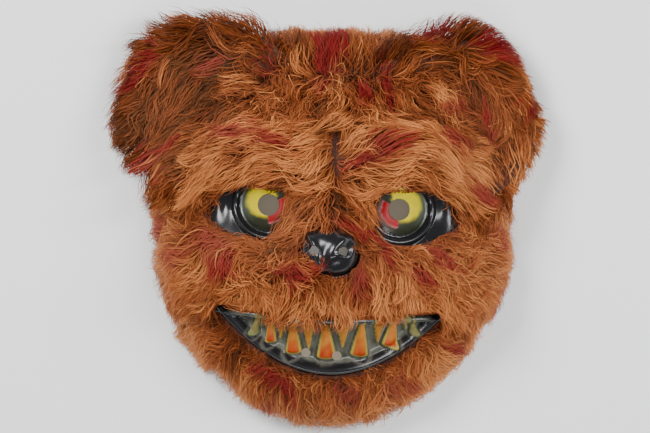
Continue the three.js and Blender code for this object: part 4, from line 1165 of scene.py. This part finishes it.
def build_ear(side, material):
    """The ear's padded body under its pile."""
    reach = EAR_REACH[side]
    shares = np.concatenate([[-0.3], np.linspace(0, 0.9, 16), [0.94, 0.97, 0.985, 0.995, 0.999]])
    turns = np.linspace(0, 2 * np.pi, 64, endpoint=False)
    t, angle = np.meshgrid(shares * reach, turns, indexing="ij")
    at = ear_place(side, np.cos(angle), t)
    thin = 1 - 0.5 * np.clip(t / reach, 0, 1) ** 4
    thick = np.sign(np.sin(angle)) * np.abs(np.sin(angle)) ** 0.6
    at[..., 2] += thick * EAR_THICK * 0.32 * thin
    middle, _, across, _ = ear_frame(side)
    radial = (at - middle - across * reach * 0.32) * (1, 1, 0)
    far = np.linalg.norm(radial, axis=-1, keepdims=True) / reach
    at = at + unit(radial) * 7 * smooth((far - 0.42) / 0.25)
    rows, cols = t.shape
    i, j = np.meshgrid(np.arange(rows - 1), np.arange(cols), indexing="ij")
    ahead = (j + 1) % cols
    quads = np.stack([i * cols + j, i * cols + ahead, (i + 1) * cols + ahead, (i + 1) * cols + j], -1)
    quads = quads.reshape(-1, 4)
    if side < 0:
        quads = quads[:, ::-1]
    points = at.reshape(-1, 3)
    name = "ear_body_" + EAR_SIDES[side]
    mesh = mesh_of(name, points, quads, points[:, :2] / MAP_SPAN + 0.5)
    piece = add_piece(name, mesh, ["ear_" + EAR_SIDES[side]], [material])


def ear_flow(side, at, centre, rim):
    """How the pile lies on an ear: down on its middle, and along the outline near its edge."""
    radial = at - centre
    radial[:, 2] = 0
    radial = unit(radial)
    along_x, along_y = side * radial[:, 1], -side * radial[:, 0]
    upper = smooth((radial[:, 1] + 0.45) / 0.6) * rim
    spread = rim * (0.8 if side < 0 else 0.16 + 0.6 * smooth((radial[:, 1] - 0.4) / 0.4))
    fx = mix(-0.36 if side < 0 else 0.04, along_x, upper) + radial[:, 0] * spread
    fy = mix(-1.0, along_y, upper) + radial[:, 1] * spread
    return fx, fy


def ear_paths(side, s, t, face, spec, hair):
    """Points of hairs on one ear. face is 1 on its front and -1 on its back."""
    e = 0.5
    at = ear_place(side, s, t)
    grow_s = ear_place(side, np.clip(s + 0.02, -1, 1), t) - ear_place(side, np.clip(s - 0.02, -1, 1), t)
    grow_t = ear_place(side, s, t + e) - ear_place(side, s, t - e)
    normal = unit(np.cross(grow_s, grow_t))
    normal = normal * np.where(normal[:, 2] < 0, -1, 1)[:, None]
    middle, _, out, _ = ear_frame(side)
    centre = middle + out * EAR_REACH[side] * 0.32
    radial = at - centre
    radial[:, 2] = 0
    far = np.linalg.norm(radial, axis=1) / EAR_REACH[side]
    radial = unit(radial)
    rim = smooth((far - 0.42) / 0.25)
    root = at + normal * (face * EAR_THICK * 0.3 * (1 - 0.8 * rim))[:, None] + radial * (9 * rim)[:, None]
    front = unit(normal * face[:, None] * (1 - 0.7 * rim)[:, None] + radial * (0.8 * rim)[:, None])
    path = [root]
    place, heading, turn = root, None, hair["turn"].copy()
    step = (hair["length"] / spec["rows"])[:, None]
    for k in range(spec["rows"]):
        fx, fy = ear_flow(side, place, centre, rim)
        fx, fy = rotate(fx, fy, turn + swirl(place[:, 0], place[:, 1], 0.25, 0.4, 0.25))
        lie = unit(np.stack([fx, fy, -0.1 * np.ones(len(fx))], 1))
        if heading is None:
            heading = unit(lie * (1 - hair["lift"][:, None]) + front * hair["lift"][:, None])
        level = (hair["height"] * face - ((place - at) * normal).sum(1)) / step[:, 0]
        heading = unit(heading * 0.45 + lie * 0.55 + normal * (np.clip(level, -0.5, 0.5) * 0.3)[:, None])
        place = place + heading * step
        place[:, 2] = np.maximum(place[:, 2], 2.0)
        path.append(place)
        turn = turn + hair["wander"][:, k]
    return np.stack(path, 1), root, front


def grow_ear_pile(side, count, material, seed):
    spec = PILES["ear"]

    def grow(number, more):
        dice = np.random.default_rng(seed + more)
        anywhere = dice.uniform(0, 1, number) < 0.78
        share = np.where(anywhere, dice.uniform(-0.12, 0.98, number), dice.uniform(0.7, 1.0, number))
        t = EAR_REACH[side] * share
        wide = np.sqrt(np.maximum(0, 1 - np.clip(t / EAR_REACH[side], 0, 1) ** 3))
        t = t[dice.uniform(0, 1, number) < wide + 0.12]
        s = dice.uniform(-1, 1, len(t))
        face = np.where(dice.uniform(0, 1, len(t)) < 0.76, 1.0, -1.0)
        hair = hair_kinds(spec, len(t), dice, np.ones(len(t)))
        paths, root, front = ear_paths(side, s, t, face, spec, hair)
        return (paths, root, front, hair["height"]), face

    name, node_name = "ear_pile_" + EAR_SIDES[side], "ear_" + EAR_SIDES[side]
    hairs, face = grow(count, 0)
    guides, bigger = grow(count // PER_GUIDE, 1)[0], grow(count // PER_BIGGER, 2)[0]
    add_pile(name, "ear", hairs, guides, bigger, node_name, material, seed + 3, face)


# Stitches that hold the plush along the nose


def stitch_places():
    nx, ny, hw, hh, _, power = NOSE
    turn = np.radians(np.arange(-88, -8, 6.0))
    c, s = np.cos(turn), np.sin(turn)
    out = 1.05 * (np.abs(c) ** power + np.abs(s) ** power) ** (-1 / power)
    return np.stack([nx + hw * out * c, ny + hh * out * s], 1)


def build_stitches():
    """Small threads along the cut edge of the plush, at the nose's lower right."""
    m, nodes, links, principled = new_material("stitch_thread")
    twist = texture(nodes, links, "ShaderNodeTexWave", 900, wave_type="BANDS", bands_direction="DIAGONAL")
    tone = through(links, twist, ramp(nodes, [(0.2, srgb(96, 70, 50)), (0.8, srgb(188, 166, 142))]))
    links.new(tone, principled.inputs["Base Color"])
    principled.inputs["Roughness"].default_value = 0.8
    bump(nodes, links, principled, twist, 0.4, 0.0002)
    sides, half_length, thickness = 6, 0.6, 0.19
    rings = [(-1, 0.15), (-0.7, 0.8), (0, 1), (0.7, 0.8), (1, 0.15)]
    around = np.linspace(0, 2 * np.pi, sides, endpoint=False)
    points, faces = [], []
    line = stitch_places()
    ahead = unit(np.gradient(line, axis=0))
    normal = form_normal(line[:, 0], line[:, 1])
    base = np.stack([*line.T, form_height(line[:, 0], line[:, 1])], 1) + normal * 2.5
    for at, (tx, ty), n in zip(base, ahead, normal):
        along = unit(np.array([tx, ty, 0]) - n * (tx * n[0] + ty * n[1]))
        across = np.cross(n, along)
        first = sum(len(p) for p in points)
        for place, wide in rings:
            circle = across * np.cos(around)[:, None] + n * np.sin(around)[:, None]
            arch = n * 0.3 * (1 - place**2)
            points.append(at + along * place * half_length + arch + circle * thickness * wide)
        for r in range(len(rings) - 1):
            for k in range(sides):
                a, b = first + r * sides + k, first + r * sides + (k + 1) % sides
                faces.append((a, b, b + sides, a + sides))
        last = first + (len(rings) - 1) * sides
        for start, step in ((first, -1), (last, 1)):
            cap = [start + (k * step) % sides for k in range(sides)]
            faces += [(cap[0], cap[1], cap[2], cap[3]), (cap[0], cap[3], cap[4], cap[5])]
    points = np.concatenate(points)
    mesh = mesh_of("stitches", points, np.array(faces), points[:, :2] / MAP_SPAN + 0.5)
    add_piece("stitches", mesh, ["face_fur"], [m])


# The elastic band keeps its CAD solid and gets a woven material.


def dress_strap():
    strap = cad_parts["head_strap"]
    strap.data.materials.clear()
    strap.data.materials.append(strap_material())


# Stage, light and camera


SOFTBOXES = [  # name, place and size in metres, power
    ("softbox_left", (-0.75, 0.6, 1.1), (0.6, 0.7), 27),
    ("softbox_right", (0.85, 0.25, 1.0), (0.3, 1.0), 16),
    ("softbox_low", (0.1, -0.9, 1.1), (1.0, 0.4), 9),
]
HOLLOW_LIGHTS = [  # name, x, y, size in metres, power: inside the mask, so that its holes aren't black
    ("eye_light_left", -42, 11, (0.03, 0.03), 0.0009),
    ("eye_light_right", 42, 11, (0.03, 0.03), 0.0009),
    ("nose_light", -2, -17, (0.03, 0.02), 0.0004),
    ("jaw_light", -4, -85, (0.05, 0.03), 0.0025),
]


def area_light(name, place, size, power, tone):
    light = bpy.data.lights.new(name, "AREA")
    light.shape = "RECTANGLE"
    light.size, light.size_y = size
    light.energy = power
    light.color = tone
    lamp = bpy.data.objects.new(name, light)
    lamp.location = Vector(place)
    bpy.context.scene.collection.objects.link(lamp)
    return lamp


def build_stage():
    bpy.ops.mesh.primitive_plane_add(size=8, location=(0, 0, 0))
    floor = bpy.context.object
    floor.name = "floor"
    m, nodes, links, principled = new_material("floor_paper")
    principled.inputs["Base Color"].default_value = (0.9, 0.9, 0.9, 1)
    principled.inputs["Roughness"].default_value = 0.9
    floor.data.materials.append(m)

    for name, place, size, power in SOFTBOXES:
        lamp = area_light(name, place, size, power, (1, 1, 1))
        lamp.rotation_euler = (Vector((0, 0, 0.04)) - Vector(place)).to_track_quat("-Z", "Y").to_euler()
    for name, x, y, size, power in HOLLOW_LIGHTS:
        area_light(name, to_metres((x, y, 12)), size, power, (1.0, 0.84, 0.62))
    world = bpy.data.worlds.new("studio")
    world.use_nodes = True
    world.node_tree.nodes["Background"].inputs[0].default_value = (1, 1, 1, 1)
    world.node_tree.nodes["Background"].inputs[1].default_value = 0.25
    bpy.context.scene.world = world

    lens = bpy.data.cameras.new("camera")
    camera = bpy.data.objects.new("camera", lens)
    bpy.context.scene.collection.objects.link(camera)
    bpy.context.scene.camera = camera
    distance, eye_level = 2.0, 0.04  # metres above the floor: the camera, and what a pixel's size is true for
    aim = np.array([*place_of(PHOTO_WIDTH / 2, PHOTO_HEIGHT / 2), 0.0])
    camera.location = Vector(to_metres(aim)) + Vector((0, 0, distance))
    camera.rotation_euler = (0, 0, ROLL)
    lens.sensor_width = 36
    lens.lens = lens.sensor_width * (distance - eye_level) / (PHOTO_WIDTH * PIXEL * MM)
    lens.clip_start, lens.clip_end = 0.05, 20


def on_crown(x, y):
    return y > crown_seam(x)


def on_brow(side):
    return lambda x, y: (y < crown_seam(x)) & (y > brow_seam(x)) & (x * side > 0)


def on_face(low, high, side=0):
    return lambda x, y: (y < brow_seam(x)) & (y > low) & (y <= high) & (x * side >= 0)


pile = pile_material()
backing = backing_material()
build_shell()
cloths = [  # name, node, slot, where, flat width, flat length, flat area
    ("face_cloth", "face_fur", "face_plush", lambda x, y: y < brow_seam(x), 0.27, 0.2, 0.0268),
    ("brow_cloth_left", "brow_fur_left", "brow_plush", on_brow(-1), 0.12, 0.07, 0.0061),
    ("brow_cloth_right", "brow_fur_right", "brow_plush", on_brow(1), 0.12, 0.07, 0.0061),
    ("crown_cloth", "crown_fur", "crown_plush", on_crown, 0.21, 0.085, 0.013),
]
for name, node_name, slot, where, wide, long, area in cloths:
    cloth = build_backing(name, node_name, where, backing)
MUZZLE_LOW = -52
piles = [  # name, kind, hairs, where, node, slot, seed
    ("muzzle_pile_left", "face", 14500, on_face(MUZZLE_LOW, 60, -1), "face_fur", "face_plush", 101),
    ("muzzle_pile_right", "face", 14500, on_face(MUZZLE_LOW, 60, 1), "face_fur", "face_plush", 201),
    ("chin_pile", "face", 14000, on_face(-200, MUZZLE_LOW), "face_fur", "face_plush", 301),
    ("brow_pile_left", "brow", 6200, on_brow(-1), "brow_fur_left", "brow_plush", 401),
    ("brow_pile_right", "brow", 6200, on_brow(1), "brow_fur_right", "brow_plush", 501),
    ("crown_pile", "crown", 13500, on_crown, "crown_fur", "crown_plush", 601),
]
for name, kind, count, where, node_name, slot, seed in piles:
    grow_face_pile(name, kind, count, where, node_name, pile, seed)
for ear_side in EAR_SIDES:
    build_ear(ear_side, backing)
    grow_ear_pile(ear_side, 10500, pile, 700 + 100 * ear_side)
build_stitches()
dress_strap()
build_stage()
